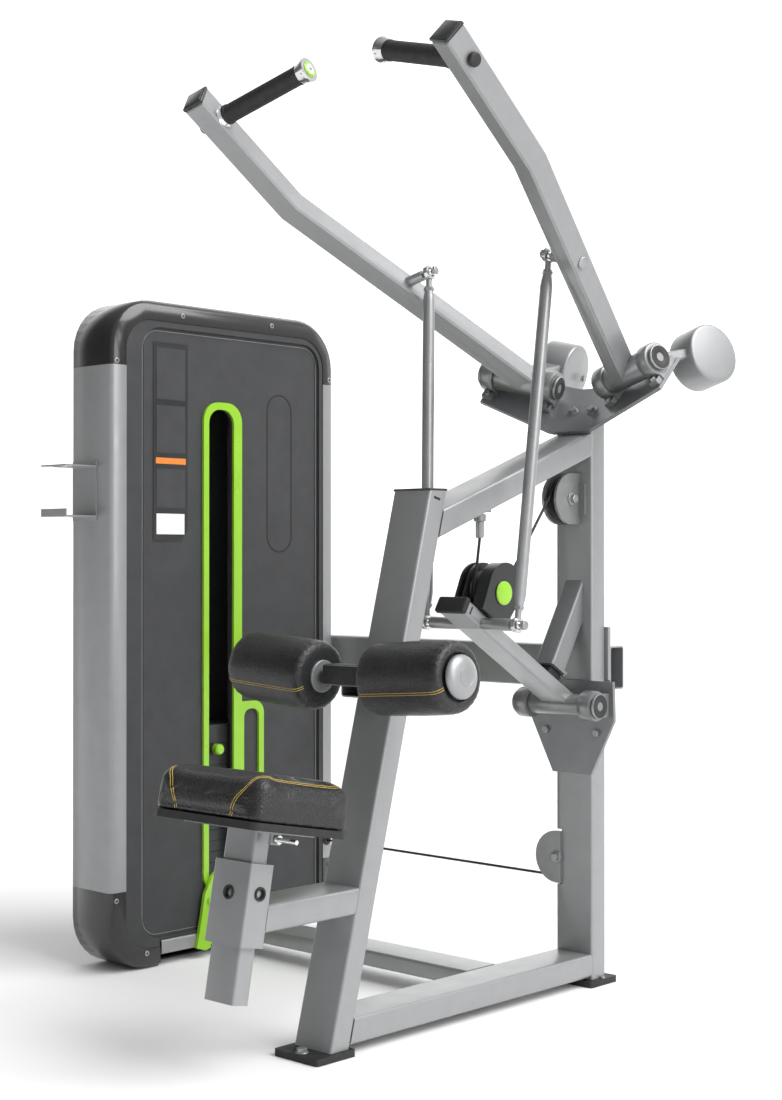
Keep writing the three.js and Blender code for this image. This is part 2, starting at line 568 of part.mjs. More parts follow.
class ArcCurve extends THREE.Curve {
  constructor(centre, from, to, turn) {
    super();
    Object.assign(this, { centre, from, to, turn });
  }

  getPoint(t, target = new THREE.Vector3()) {
    const a = this.turn * t;
    return target.copy(this.centre).addScaledVector(this.from, Math.cos(a))
      .addScaledVector(this.to, Math.sin(a));
  }
}

// Part of a turn around a sheave: starts at centre + from and heads towards `to`.
function wrap(centre, from, to, radius, turn) {
  const curve = new ArcCurve(centre, from.clone().multiplyScalar(radius),
    to.clone().multiplyScalar(radius), turn);
  const steps = Math.max(4, Math.round(turn / 0.35));
  const corner = (i) => [CABLE_R * Math.cos((i * Math.PI) / 4), CABLE_R * Math.sin((i * Math.PI) / 4)];
  const section = polygon(Array.from({ length: 8 }, (_, i) => corner(i)));
  return new THREE.ExtrudeGeometry(section, { steps, extrudePath: curve });
}

const lay = (a, b) => round(step(a, along(a, b), -0.4), step(b, along(a, b), 0.4), CABLE_R, 8);
const yz = (angle) => vec(0, Math.cos(angle), Math.sin(angle));

function cables() {
  const c1 = vec(0, LEVER_SHEAVE.y, LEVER_SHEAVE.z);
  const c2 = vec(0, UPPER_SHEAVE.y, UPPER_SHEAVE.z);
  const anchor = vec(0, ANCHOR.y, ANCHOR.z - 1);
  const between = c2.clone().sub(c1);
  const rising = Math.atan2(between.z, between.y) + Math.asin((LEVER_SHEAVE_R + SHEAVE_R) / between.length());
  const toAnchor = anchor.clone().sub(c1);
  const entry = Math.atan2(toAnchor.z, toAnchor.y) + Math.acos(LEVER_SHEAVE_R / toAnchor.length());
  const exit = rising - Math.PI / 2 + 2 * Math.PI;
  const on1 = step(c1, yz(entry), LEVER_SHEAVE_R);
  const off1 = step(c1, yz(exit), LEVER_SHEAVE_R);
  const on2 = step(c2, yz(rising + Math.PI / 2), SHEAVE_R);
  piece('lever_cable', join(round(anchor, step(on1, along(anchor, on1), 0.4), CABLE_R, 8),
    wrap(c1, yz(entry), yz(entry + Math.PI / 2), LEVER_SHEAVE_R, exit - entry),
    round(step(off1, along(off1, on2), -0.4), step(on2, along(off1, on2), -GAP), CABLE_R, 8)), rubber);

  const low = vec(LOWER_SHEAVE.x, CABLE_Y, LOWER_SHEAVE.z);
  const foot = vec(STACK.x + SMALL_SHEAVE_R, CABLE_Y, low.z - SHEAVE_R + SMALL_SHEAVE_R);
  const rearTop = vec(STACK.x, UPPER_SHEAVE.y, TOP_SHEAVE_Z);
  const frontTop = vec(STACK.x, STACK.y + SHEAVE_R, TOP_SHEAVE_Z);
  const down = Z.clone().negate();
  const forward = Y.clone().negate();
  const overUpper = rising + Math.PI / 2;
  piece('long_cable', join(
    wrap(c2, yz(overUpper), yz(overUpper - Math.PI / 2), SHEAVE_R, overUpper),
    lay(step(c2, Y, SHEAVE_R), step(low, X, SHEAVE_R)),
    wrap(low, X, down, SHEAVE_R, Math.PI / 2),
    lay(step(low, down, SHEAVE_R), step(foot, down, SMALL_SHEAVE_R)),
    wrap(foot, down, X.clone().negate(), SMALL_SHEAVE_R, Math.PI / 2),
    lay(step(foot, X, -SMALL_SHEAVE_R), step(rearTop, Y, SHEAVE_R)),
    wrap(rearTop, Y, Z, SHEAVE_R, Math.PI / 2),
    lay(step(rearTop, Z, SHEAVE_R), step(frontTop, Z, SHEAVE_R)),
    wrap(frontTop, Z, forward, SHEAVE_R, Math.PI / 2)), rubber);
  piece('stack_cable', round(step(step(frontTop, forward, SHEAVE_R), Z, -GAP),
    vec(STACK.x, STACK.y, stackTop + 18 + GAP), CABLE_R, 8), rubber);

  piece('tower_foot_sheave', sheave(foot, Y, SMALL_SHEAVE_R, 6 + GAP), ironBlack);
  piece('tower_rear_sheave', sheave(rearTop, X, SHEAVE_R, 8 + GAP), ironBlack);
  piece('tower_front_sheave', sheave(frontTop, X, SHEAVE_R, 8 + GAP), ironBlack);

  const baseTube = cut(tube(vec(-820, 289, 43), vec(-820, 846, 43), 50, 34),
    box(-900, -700, 700, 847, 62, 90));
  const web = [[780, 787, 50, 110], [780, 843, 104, 110], [836, 843, 104, 284]].map((yz4) =>
    box(-862, -826, ...yz4));
  const axle = round(vec(foot.x, CABLE_Y - 13, foot.z), vec(foot.x, 840, foot.z), 6, 16);
  piece('tower_base', join(baseTube, ...web, axle), silver);

  const block = cut(box(-14, 14, ANCHOR.y - 14, ANCHOR.y + 20, 1040, 1090),
    beyond(beamUnder, vec(0, -Math.sin(rad(BEAM_RISE)), Math.cos(rad(BEAM_RISE)))));
  const terminal = turned([[0, 0], [7, 0], [9, 4], [9, 34], [13, 36], [13, 50], [8, 50], [8, 58],
    [0, 58]], vec(0, ANCHOR.y, ANCHOR.z), Z, 14);
  piece('cable_anchor', join(block, terminal), chrome);
}

// Just below the upper beam's underside.
const beamUnder = vec(0, BEAM_TOP.y + (TUBE_D + GAP) * Math.sin(rad(BEAM_RISE)),
  BEAM_TOP.z - (TUBE_D + GAP) * Math.cos(rad(BEAM_RISE)));

// ---------------------------------------------------------------- weight stack
const stackTop = STACK.z0 + (RESTING + LIFTED) * (STACK.plate + 1) + 18;

function plates(from, count, extra) {
  const { x, y, w, d, plate, z0 } = STACK;
  const z = (i) => z0 + i * (plate + 1);
  const bodies = [];
  for (let i = from; i < from + count; i++) {
    bodies.push(box(x - d / 2, x + d / 2, y - w / 2, y + w / 2, z(i), z(i) + plate));
    if (i > from) {
      bodies.push(box(x - d / 2 + 4, x + d / 2 - 4, y - w / 2 + 4, y + w / 2 - 4, z(i) - 2, z(i) + 1));
    }
  }
  const holes = [-STACK_ROD, STACK_ROD].map((dy) =>
    round(vec(x, y + dy, z0 - 50), vec(x, y + dy, 1300), 13.5, 20));
  return cut(join(...bodies, ...extra), ...holes);
}

function weights() {
  const { x, y, w, d, plate, z0 } = STACK;
  const rest = plates(0, RESTING, []);
  piece('resting_plates', cut(rest, round(vec(x, y, 0), vec(x, y, 1300), 15, 20)), ironBlack);

  const liftZ = z0 + RESTING * (plate + 1);
  const headPlate = box(x - d / 2, x + d / 2, y - w / 2, y + w / 2, stackTop - 19, stackTop);
  const stem = round(vec(x, y, 100), vec(x, y, stackTop), 12, 20);
  const eye = round(vec(x, y, stackTop - 1), vec(x, y, stackTop + 18), 9, 16);
  const joint = box(x - d / 2 + 4, x + d / 2 - 4, y - w / 2 + 4, y + w / 2 - 4, stackTop - 21, stackTop - 17);
  const lifted = plates(RESTING, LIFTED, [headPlate, joint, stem, eye]);
  const pinZ = liftZ + plate / 2;
  const pinHole = round(vec(x + 2, y, pinZ), vec(x + d, y, pinZ), 5.4, 16);
  piece('lifted_plates', cut(lifted, pinHole), ironBlack);
  const knob = x + d / 2 + 4;
  piece('selector_pin', join(round(vec(x + 4, y, pinZ), vec(knob + 2, y, pinZ), 5, 16),
    turned([[0, 0], [8, 0], [13, 5], [13, 19], [10, 23], [0, 23]], vec(knob, y, pinZ), X, 20)), lime);

  const rods = [-STACK_ROD, STACK_ROD].map((dy) => round(vec(x, y + dy, 66), vec(x, y + dy, 1385), 12, 20));
  const cheeks = [[-22, -16], [16, 22]].map(([a, b]) => box(x + a, x + b, y - 20, 812, 1395, 1466));
  const axles = [UPPER_SHEAVE.y, y + SHEAVE_R].map((ay) =>
    round(vec(x - 19, ay, TOP_SHEAVE_Z), vec(x + 19, ay, TOP_SHEAVE_Z), 8, 20));
  const bottom = box(x - 50, x + 50, y - 140, y + 140, 64, 80);
  const top = cut(box(x - 50, x + 50, y - 140, y + 140, 1380, 1396),
    round(vec(x, y, 1300), vec(x, y, 1500), 12, 16));
  piece('guide_frame', join(...rods, ...cheeks, ...axles, bottom, top), chrome);
}

// ---------------------------------------------------------------- weight tower shroud
// Rounded slab standing in the YZ plane: side = [y0, y1, z0, z1, corner radius].
function slab([ya, yb, za, zb, r], x0, x1, bevel = 0, segments = 6) {
  const shape = roundRect(yb - ya - 2 * bevel, zb - za - 2 * bevel, r - bevel, segments);
  const options = bevel
    ? { bevelEnabled: true, bevelSize: bevel, bevelThickness: bevel, bevelSegments: 1 }
    : {};
  return extrude(shape, x1 - x0 - 2 * bevel, options)
    .applyMatrix4(basis(vec(x0 + bevel, (ya + yb) / 2, (za + zb) / 2), Y, Z));
}

function tower() {
  const { x0, x1, y0, y1, top, r } = TOWER;
  const skin = 4;
  const inner = [y0 + BAND, y1 - BAND_REAR, BAND, top - BAND, r - BAND];
  const ring = cut(slab([y0, y1, 0, top, r], x0, x1, 10, 8),
    slab([y0 + skin, y1 - skin, skin, top - skin, r - skin], x0 + skin, x1 - skin, 8, 8),
    slab(inner, x0 - 20, x1 + 20, 0, 8));
  const part = (ya, yb, za, zb) => common(ring, box(x0 - 30, x1 + 30, ya, yb, za, zb));
  piece('tower_top_cover', part(0, 1000, COVER_Z1 + GAP, 2000), shellBlack);
  const cableHole = round(vec(x1 - 20, CABLE_Y, 231), vec(x1 + 20, CABLE_Y, 231), 8, 16);
  const baseSpace = box(-845 - 6, x1 + 30, 285, 900, -10, 62);
  piece('tower_bottom_cover', cut(part(0, 1000, -10, COVER_Z0), baseSpace), shellBlack);
  piece('tower_front_post', part(0, 300, COVER_Z0 + GAP, COVER_Z1), silver);
  piece('tower_rear_post', cut(part(700, 1000, COVER_Z0 + GAP, COVER_Z1), cableHole), silver);

  const inset = [inner[0] + GAP, inner[1] - GAP, inner[2] + GAP, inner[3] - GAP, inner[4] - GAP];
  const windowHole = slab([434, 513, 156, 1300, 34], x1 - 30, x1 + 10);
  const pivot = vec(x1, 429, 133);
  const hole = (radius) => round(step(pivot, X, -40), step(pivot, X, 20), radius, 16);
  piece('tower_right_shell', cut(slab(inset, x1 - 17, x1 - 2, 0, 8),
    slab([231, 800, 66, 1480, 56], x1 - 9, x1 + 10), windowHole, hole(5.6), baseSpace), panelGray);
  piece('tower_left_shell', cut(slab(inset, x0 + 2, x0 + 12, 0, 8),
    slab([231, 770, 100, 1440, 56], x0 - 10, x0 + 6)), panelGray);

  const trimX = [x1 - 9 + GAP, x1 - 2];
  const loop = slab([418, 539, 150, 1317, 46], ...trimX);
  const sideLoop = slab([508, 611, 150, 598, 30], ...trimX);
  const sideHole = slab([546, 595, 168, 579, 20], x1 - 30, x1 + 10);
  piece('slot_trim', cut(join(loop, sideLoop), windowHole, sideHole, hole(14)), lime);

  const bladeShape = polygon([[448, 200], [460, 190], [452, 140], [440, 108], [430, 22], [414, 18],
    [388, 26], [404, 104], [412, 150], [436, 192]]);
  const blade = extrude(bladeShape, 9).applyMatrix4(basis(vec(x1 + GAP, 0, 0), Y, Z));
  piece('increment_lever', join(blade, round(step(pivot, X, -14), step(pivot, X, 13), 5.2, 16)), lime);

  const shelf = (z) => box(-935, -842, 50, y0 - GAP - 1, z, z + 3.5);
  const holder = join(box(-932, -845, y0 - 4, y0 - GAP, 1030, 1166), shelf(1152), shelf(1038),
    box(-935, -842, 50, 53.5, 1039, 1056));
  piece('bottle_holder', cut(holder, round(vec(-888, 94, 1140), vec(-888, 94, 1170), 37, 28)), silver);
}

frame();
seat();
rollers();
armBracket();
pair('inner_bearing', bearing(0, 40), castGray);
pair('outer_bearing', bearing(BEARING.span, BEARING.span - 40), castGray);
pair('arm', arm(), silver);
pair('grip', grip(), rubber);
pair('counterweight', drum(), castGray);
pair('tie_rod', tieRod(), steel);
piece('lever', lever(), silver);
piece('lever_mount', leverMount(), castGray);
piece('stop_strut', stopStrut(), silver);
guards();
cables();
weights();
tower();

export default machine;
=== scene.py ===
"""Lat pulldown machine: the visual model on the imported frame.

Lengths in the machine's own layout are millimetres with X = 0 in its middle plane; `place`
turns them into the frame's metres.
"""
import math
import bmesh
import bpy
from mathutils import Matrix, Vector, noise


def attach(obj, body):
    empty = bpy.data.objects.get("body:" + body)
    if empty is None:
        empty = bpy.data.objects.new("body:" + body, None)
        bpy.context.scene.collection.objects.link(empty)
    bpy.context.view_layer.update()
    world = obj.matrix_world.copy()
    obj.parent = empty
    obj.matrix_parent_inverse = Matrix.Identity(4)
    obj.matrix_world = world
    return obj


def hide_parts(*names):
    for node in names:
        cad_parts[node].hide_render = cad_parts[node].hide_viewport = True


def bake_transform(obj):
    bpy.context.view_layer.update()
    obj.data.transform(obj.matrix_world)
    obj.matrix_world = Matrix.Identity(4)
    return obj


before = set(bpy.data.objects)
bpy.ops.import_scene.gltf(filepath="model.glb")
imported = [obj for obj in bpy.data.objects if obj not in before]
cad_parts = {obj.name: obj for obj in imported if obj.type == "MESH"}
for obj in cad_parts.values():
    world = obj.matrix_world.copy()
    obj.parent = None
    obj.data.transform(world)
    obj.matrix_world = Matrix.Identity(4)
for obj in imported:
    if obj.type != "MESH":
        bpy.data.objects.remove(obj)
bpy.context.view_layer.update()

SHIFT = Vector((287.7, -413.0, 0.0))
MM = 0.001


# ------------------------------------------------------------------ camera
camera = bpy.data.objects.new("camera", bpy.data.cameras.new("camera"))
bpy.context.collection.objects.link(camera)
camera.location = (2.71753, -2.77474, 0.94011)
camera.rotation_euler = (math.radians(90.32), 0, math.radians(43.28))
camera.data.sensor_width = 36
camera.data.lens = 58.46
camera.data.clip_end = 200
bpy.context.scene.camera = camera


# ------------------------------------------------------------------ materials
def material(name, color, roughness, metallic=0.0, coat=0.0, mottle=0.12, scale=60.0,
             grain=0.0, grain_scale=900.0, leather=False, flakes=0.0):
    """Principled material with a mottled colour and roughness and a fine bump."""
    m = bpy.data.materials.new(name)
    m.use_nodes = True
    nodes, links = m.node_tree.nodes, m.node_tree.links
    shader = nodes["Principled BSDF"]
    shader.inputs["Metallic"].default_value = metallic
    shader.inputs["Coat Weight"].default_value = coat
    shader.inputs["Coat Roughness"].default_value = 0.15
    where = nodes.new("ShaderNodeTexCoord").outputs["Object"]

    def noise_at(size, detail=4.0):
        n = nodes.new("ShaderNodeTexNoise")
        n.inputs["Scale"].default_value = size
        n.inputs["Detail"].default_value = detail
        links.new(where, n.inputs["Vector"])
        return n.outputs["Fac"]

    def between(value, low, high):
        r = nodes.new("ShaderNodeMapRange")
        r.inputs["From Min"].default_value = 0.3
        r.inputs["From Max"].default_value = 0.7
        r.inputs["To Min"].default_value = low
        r.inputs["To Max"].default_value = high
        links.new(value, r.inputs["Value"])
        return r.outputs["Result"]

    mix = nodes.new("ShaderNodeMix")
    mix.data_type = "RGBA"
    dark = [c * (1 - mottle) for c in color]
    light = [min(1.0, c * (1 + mottle)) for c in color]
    mix.inputs[6].default_value = (*dark, 1)
    mix.inputs[7].default_value = (*light, 1)
    source = noise_at(scale)
    if flakes:
        blend = nodes.new("ShaderNodeMix")
        blend.inputs[0].default_value = flakes
        links.new(source, blend.inputs[2])
        links.new(noise_at(2600.0, 1.0), blend.inputs[3])
        source = blend.outputs[0]
    links.new(between(source, 0.0, 1.0), mix.inputs[0])
    links.new(mix.outputs[2], shader.inputs["Base Color"])
    links.new(between(noise_at(scale * 0.6), roughness * 0.88, min(1.0, roughness * 1.12)),
              shader.inputs["Roughness"])
    if leather:
        cells = nodes.new("ShaderNodeTexVoronoi")
        cells.feature = "SMOOTH_F1"
        cells.inputs["Scale"].default_value = grain_scale
        cells.inputs["Smoothness"].default_value = 0.4
        warp = nodes.new("ShaderNodeTexNoise")
        warp.inputs["Scale"].default_value = grain_scale * 0.4
        links.new(where, warp.inputs["Vector"])
        bend = nodes.new("ShaderNodeVectorMath")
        bend.operation = "MULTIPLY_ADD"
        bend.inputs[1].default_value = (0.006, 0.006, 0.006)
        links.new(warp.outputs["Color"], bend.inputs[0])
        links.new(where, bend.inputs[2])
        links.new(bend.outputs["Vector"], cells.inputs["Vector"])
        height = cells.outputs["Distance"]
    else:
        height = noise_at(grain_scale, 3.0)
    if grain:
        bump = nodes.new("ShaderNodeBump")
        bump.inputs["Strength"].default_value = grain
        bump.inputs["Distance"].default_value = 0.002 if leather else 0.0005
        links.new(height, bump.inputs["Height"])
        links.new(bump.outputs["Normal"], shader.inputs["Normal"])
    return m


SILVER = material("silver paint", (0.315, 0.32, 0.325), 0.38, 0.5, 0.2, 0.05, 30, 0.08, 1400,
                  flakes=0.5)
GRAY = material("gray paint", (0.23, 0.238, 0.245), 0.4, 0.5, 0.2, 0.06, 30, 0.1, 1400, flakes=0.5)
CAST = material("cast gray", (0.27, 0.272, 0.275), 0.34, 0.6, 0.2, 0.08, 45, 0.12, 700)
BRIGHT = material("bright steel", (0.72, 0.72, 0.72), 0.16, 1.0, 0.0, 0.04, 25, 0.04, 600)
SATIN = material("satin steel", (0.36, 0.365, 0.37), 0.38, 0.8, 0.0, 0.03, 40, 0.06, 1200)
IRON = material("plate black", (0.035, 0.036, 0.038), 0.42, 0.2, 0.1, 0.2, 40, 0.35, 500)
BLACK = material("black paint", (0.018, 0.019, 0.02), 0.34, 0.1, 0.3, 0.1, 50, 0.12, 900)
NYLON = material("black nylon", (0.016, 0.016, 0.017), 0.5, 0.0, 0.0, 0.15, 80, 0.2, 900)
RUBBER = material("black rubber", (0.014, 0.014, 0.015), 0.62, 0.0, 0.0, 0.2, 90, 0.35, 1100)
LEATHER = material("black leather", (0.010, 0.0105, 0.0115), 0.4, 0.0, 0.1, 0.3, 30, 0.5, 300,
                   leather=True)
SHELL = material("black shell", (0.012, 0.012, 0.013), 0.22, 0.0, 0.55, 0.1, 20, 0.05, 800)
PANEL = material("panel gray", (0.043, 0.044, 0.046), 0.58, 0.15, 0.0, 0.1, 24, 0.4, 1000)
LIME = material("lime plastic", (0.27, 0.56, 0.02), 0.3, 0.0, 0.35, 0.04, 25, 0.06, 900)
THREAD = material("gold thread", (0.72, 0.50, 0.09), 0.6, 0.0, 0.0, 0.2, 400, 0.4, 2500)
# Near-black paint: painted shade inside slots, sockets, holes and grooves, and the dark seam lines between
# panels.
SHADE_AND_SEAM_BLACK = material("painted shade and seam black", (0.006, 0.006, 0.006), 0.6, 0.0, 0.0, 0.1, 60, 0.1, 900)
WHITE = material("white plastic", (0.75, 0.75, 0.74), 0.35, 0.0, 0.2, 0.03, 40, 0.05, 900)
ORANGE = material("orange print", (0.75, 0.22, 0.03), 0.45, 0.0, 0.1, 0.05, 60, 0.05, 900)

NODE_MATERIALS = {
    SILVER: "front_post rear_post upper_beam base_beam lower_cross_tube upper_cross_tube seat_support "
            "seat_post right_arm left_arm lever tower_base tower_front_post tower_rear_post bottle_holder",
    GRAY: "arm_bracket lever_mount stop_strut roller_bracket",
    CAST: "right_inner_bearing left_inner_bearing right_outer_bearing left_outer_bearing "
          "right_counterweight left_counterweight upper_guard lower_guard",
    SATIN: "right_tie_rod left_tie_rod cable_anchor",
    BRIGHT: "right_roller_hub left_roller_hub seat_release guide_frame",
    IRON: "resting_plates lifted_plates",
    BLACK: "lever_guard",
    NYLON: "lever_sheave upper_sheave lower_sheave tower_foot_sheave tower_rear_sheave "
           "tower_front_sheave lever_cable long_cable stack_cable",
    RUBBER: "right_grip left_grip front_foot rear_foot",
    LEATHER: "seat_cushion right_roller_pad left_roller_pad",
    SHELL: "tower_top_cover tower_bottom_cover",
    PANEL: "tower_right_shell tower_left_shell",
    LIME: "slot_trim increment_lever selector_pin",
}
SOFT_CORNERS = {"tower_top_cover": 62, "tower_bottom_cover": 62, "tower_front_post": 62,
                "tower_rear_post": 62, "right_arm": 40, "left_arm": 40}


def shade(obj, degrees=35.0):
    """Smooth shading that keeps corners sharper than the angle."""
    mesh = obj.data
    mesh.polygons.foreach_set("use_smooth", [True] * len(mesh.polygons))
    mesh.set_sharp_from_angle(angle=math.radians(degrees))


def shade_node(obj, degrees):
    """The same for a carried-over solid, whose own mesh stays as it is."""
    obj.data.polygons.foreach_set("use_smooth", [True] * len(obj.data.polygons))
    weld = obj.modifiers.new("weld", "WELD")
    weld.merge_threshold = 1e-5
    corners = obj.modifiers.new("corners", "EDGE_SPLIT")
    corners.split_angle = math.radians(degrees)


for paint, names in NODE_MATERIALS.items():
    for name in names.split():
        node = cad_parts[name]
        node.data.materials.clear()
        node.data.materials.append(paint)
        shade_node(node, SOFT_CORNERS.get(name, 35))


# ------------------------------------------------------------------ building blocks
X, Y, Z = Vector((1, 0, 0)), Vector((0, 1, 0)), Vector((0, 0, 1))


def flip(v):
    """The same point or direction on the other side of the machine's middle plane."""
    return Vector((-v.x, v.y, v.z))


def place(p):
    return (p + SHIFT) * MM


def make(name, points, faces, paint, body, degrees=35.0):
    """A piece from machine-layout points in millimetres; without a body it rides on nothing yet."""
    mesh = bpy.data.meshes.new(name)
    mesh.from_pydata([place(p) for p in points], [], faces)
    work = bmesh.new()
    work.from_mesh(mesh)
    bmesh.ops.remove_doubles(work, verts=work.verts, dist=1e-6)
    bmesh.ops.recalc_face_normals(work, faces=work.faces)
    work.to_mesh(mesh)
    work.free()
    mesh.materials.append(paint)
    obj = bpy.data.objects.new(name, mesh)
    bpy.context.collection.objects.link(obj)
    shade(obj, degrees)
    if body:
        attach(obj, body)
    return obj


def frame_of(direction, hint=Z):
    w = direction.normalized()
    u = hint.cross(w)
    if u.length < 1e-3:
        u = X.cross(w)
    u.normalize()
    return u, w.cross(u), w


def lathe(name, profile, origin, axis, paint, body, segments=72, degrees=35.0):
    """Body of revolution; the profile is [radius, distance along the axis], in millimetres."""
    u, v, w = frame_of(axis)
    points, faces = [], []
    for r, t in profile:
        for i in range(segments):
            a = 2 * math.pi * i / segments
            points.append(origin + w * t + (u * math.cos(a) + v * math.sin(a)) * r)
    for k in range(len(profile) - 1):
        for i in range(segments):
            j = (i + 1) % segments
            faces.append((k * segments + i, k * segments + j,
                          (k + 1) * segments + j, (k + 1) * segments + i))
    for k, (r, _) in ((0, profile[0]), (len(profile) - 1, profile[-1])):
        if r > 0 and profile[0] != profile[-1]:
            faces.append(tuple(k * segments + i for i in range(segments)))
    return make(name, points, faces, paint, body, degrees)


def rod(name, a, b, r, paint, body, chamfer=1.0, segments=56):
    length = (b - a).length
    c = min(chamfer, r * 0.5, length * 0.4)
    return lathe(name, [(r - c, 0), (r - 0.3 * c, 0.3 * c), (r, c), (r, length - c),
                        (r - 0.3 * c, length - 0.3 * c), (r - c, length)],
                 a, b - a, paint, body, segments, 50)


def hexagon(name, origin, axis, across, height, paint, body):
    return lathe(name, [(across * 0.5, 0), (across * 0.577, 0.8), (across * 0.577, height - 0.8),
                        (across * 0.5, height)], origin, axis, paint, body, 6, 20)


def block(name, centre, axes, size, paint, body, radius=2.0, segments=3):
    """A box with rounded edges; axes are its three directions, size its sides in millimetres."""
    work = bmesh.new()
    bmesh.ops.create_cube(work, size=1.0)
    bmesh.ops.scale(work, vec=size, verts=work.verts)
    bmesh.ops.bevel(work, geom=list(work.edges), offset=radius, segments=segments,
                    profile=0.5, affect="EDGES")
    work.verts.ensure_lookup_table()
    points = [centre + axes[0] * v.co.x + axes[1] * v.co.y + axes[2] * v.co.z for v in work.verts]
    faces = [tuple(v.index for v in f.verts) for f in work.faces]
    work.free()
    return make(name, points, faces, paint, body, 40)


def plate(name, outline, lift, thickness, frame_axes, origin, paint, body):
    """A flat plate: outline in the first two axes, thickness along the third."""
    u, v, w = frame_axes
    n = len(outline)
    low = [origin + u * a + v * b + w * lift for a, b in outline]
    points = low + [p + w * thickness for p in low]
    faces = [tuple(range(n)), tuple(range(n, 2 * n))]
    faces += [(i, (i + 1) % n, n + (i + 1) % n, n + i) for i in range(n)]
    return make(name, points, faces, paint, body, 30)


def rounded(width, height, r, segments=8, centre=(0.0, 0.0)):
    points = []
    for sx, sy, start in ((1, 1, 0), (-1, 1, 90), (-1, -1, 180), (1, -1, 270)):
        for i in range(segments + 1):
            a = math.radians(start + 90 * i / segments)
            points.append((centre[0] + sx * (width / 2 - r) + r * math.cos(a),
                           centre[1] + sy * (height / 2 - r) + r * math.sin(a)))
    return points


def band(name, outline, width, lift, thickness, frame_axes, origin, paint, body, close=True):
    """A narrow flat strip that follows an outline."""
    u, v, w = frame_axes
    pts = [Vector((a, b)) for a, b in outline]
    n = len(pts)
    sides = []
    for i, p in enumerate(pts):
        before = pts[i - 1] if i or close else pts[i]
        after = pts[(i + 1) % n] if i < n - 1 or close else pts[i]
        t = (after - before).normalized()
        s = Vector((-t.y, t.x)) * (width / 2)
        sides.append((p + s, p - s))
    points, faces = [], []
    for a, b in sides:
        for q, h in ((a, 0), (b, 0), (b, thickness), (a, thickness)):
            points.append(origin + u * q.x + v * q.y + w * (lift + h))
    for i in range(n if close else n - 1):
        j = (i + 1) % n
        for k in range(4):
            m = (k + 1) % 4
            faces.append((4 * i + k, 4 * i + m, 4 * j + m, 4 * j + k))
    if not close:
        faces += [(0, 1, 2, 3), tuple(4 * (n - 1) + k for k in range(4))]
    return make(name, points, faces, paint, body, 30)


def path_tube(name, path, r, paint, body, segments=16):
    """A round tube through a list of points."""
    points, faces = [], []
    side = None
    for i, p in enumerate(path):
        t = (path[min(i + 1, len(path) - 1)] - path[max(i - 1, 0)]).normalized()
        if side is None:
            side = frame_of(t)[0]
        side = (side - t * side.dot(t)).normalized()
        up = t.cross(side)
        for k in range(segments):
            a = 2 * math.pi * k / segments
            points.append(p + (side * math.cos(a) + up * math.sin(a)) * r)
    for i in range(len(path) - 1):
        for k in range(segments):
            m = (k + 1) % segments
            faces.append((i * segments + k, i * segments + m,
                          (i + 1) * segments + m, (i + 1) * segments + k))
    faces += [tuple(range(segments)), tuple((len(path) - 1) * segments + k for k in range(segments))]
    return make(name, points, faces, paint, body, 50)


def both(builder):
    """Runs a builder for the right side and, mirrored, for the left."""
    builder("right", lambda v: v.copy())
    builder("left", flip)


# ------------------------------------------------------------------ layout
# Angles in degrees; the crossbar's place along and above the lever; radii of the linkage balls,
# of the cable, and of the sheaves at the cable's middle.
SEAT_LEAN, POST_LEAN, LEVER_RISE = 10.5, 14.7, 31
CROSSBAR_AT, CROSSBAR_ABOVE = 350, 5
BALL_R = 9.05
CABLE_R = 3
BIG_SHEAVE, LEVER_SHEAVE, FOOT_SHEAVE = 45, 40, 35


def turn(degrees):
    a = math.radians(degrees)
    return math.sin(a), math.cos(a)


s, c = turn(SEAT_LEAN)
SEAT_UP, SEAT_REAR = Vector((0, s, c)), Vector((0, c, -s))
SEAT_BASE = Vector((0, -184, 317)) + SEAT_UP * 150
s, c = turn(POST_LEAN)
POST_UP, POST_REAR = Vector((0, s, c)), Vector((0, c, -s))
s, c = turn(LEVER_RISE)
LEVER_PIVOT = Vector((0, 759, 623))
LEVER_RUN, LEVER_UP = Vector((0, -c, s)), Vector((0, s, c))
PIVOT_IN, PIVOT_OUT = Vector((58, 836, 1327)), Vector((246, 792, 1372))
ARM_AXIS = (PIVOT_OUT - PIVOT_IN).normalized()
ARM_ROOT, ARM_BEND, ARM_TIP = Vector((130, 819, 1346)), Vector((324, 254, 1691)), Vector((340, 3, 1873))
LOW_RUN, HIGH_RUN = (ARM_BEND - ARM_ROOT).normalized(), (ARM_TIP - ARM_BEND).normalized()
BEND_NORMAL = LOW_RUN.cross(HIGH_RUN).normalized()
GRIP_ROOT = ARM_TIP - HIGH_RUN * 60
GRIP_RUN = (Vector((96, 90, 1909)) - GRIP_ROOT).normalized()
STUD_ROOT = ARM_ROOT + LOW_RUN * 390
BALL_TOP = Vector((165, 514, 1563))
STUD_RUN = (BALL_TOP - STUD_ROOT).normalized()
DRUM_CENTRE = Vector((198, 1026, 1392))
BALL_LOW = LEVER_PIVOT + LEVER_RUN * CROSSBAR_AT + LEVER_UP * CROSSBAR_ABOVE + X * 124
ROLLER_RISE = math.radians(3.9)
ROLLER_RUN = Vector((math.cos(ROLLER_RISE), 0, math.sin(ROLLER_RISE)))
ROLLER_START = Vector((0, 100, 707)) + ROLLER_RUN * 70
ROLLER_LENGTH = 221
TOWER_X0, TOWER_X1 = -944, -795


def lever_at(t, up=0.0, x=0.0):
    return LEVER_PIVOT + LEVER_RUN * t + LEVER_UP * up + X * x


def crossbar(x):
    return lever_at(CROSSBAR_AT, CROSSBAR_ABOVE, x)


def ball_profile():
    """Lathe profile of a linkage ball."""
    angles = [math.radians(a) for a in range(10, 171, 10)]
    round_part = [(BALL_R * math.sin(a), -BALL_R * math.cos(a)) for a in angles]
    return [(0.3, -9)] + round_part + [(0.3, 9)]


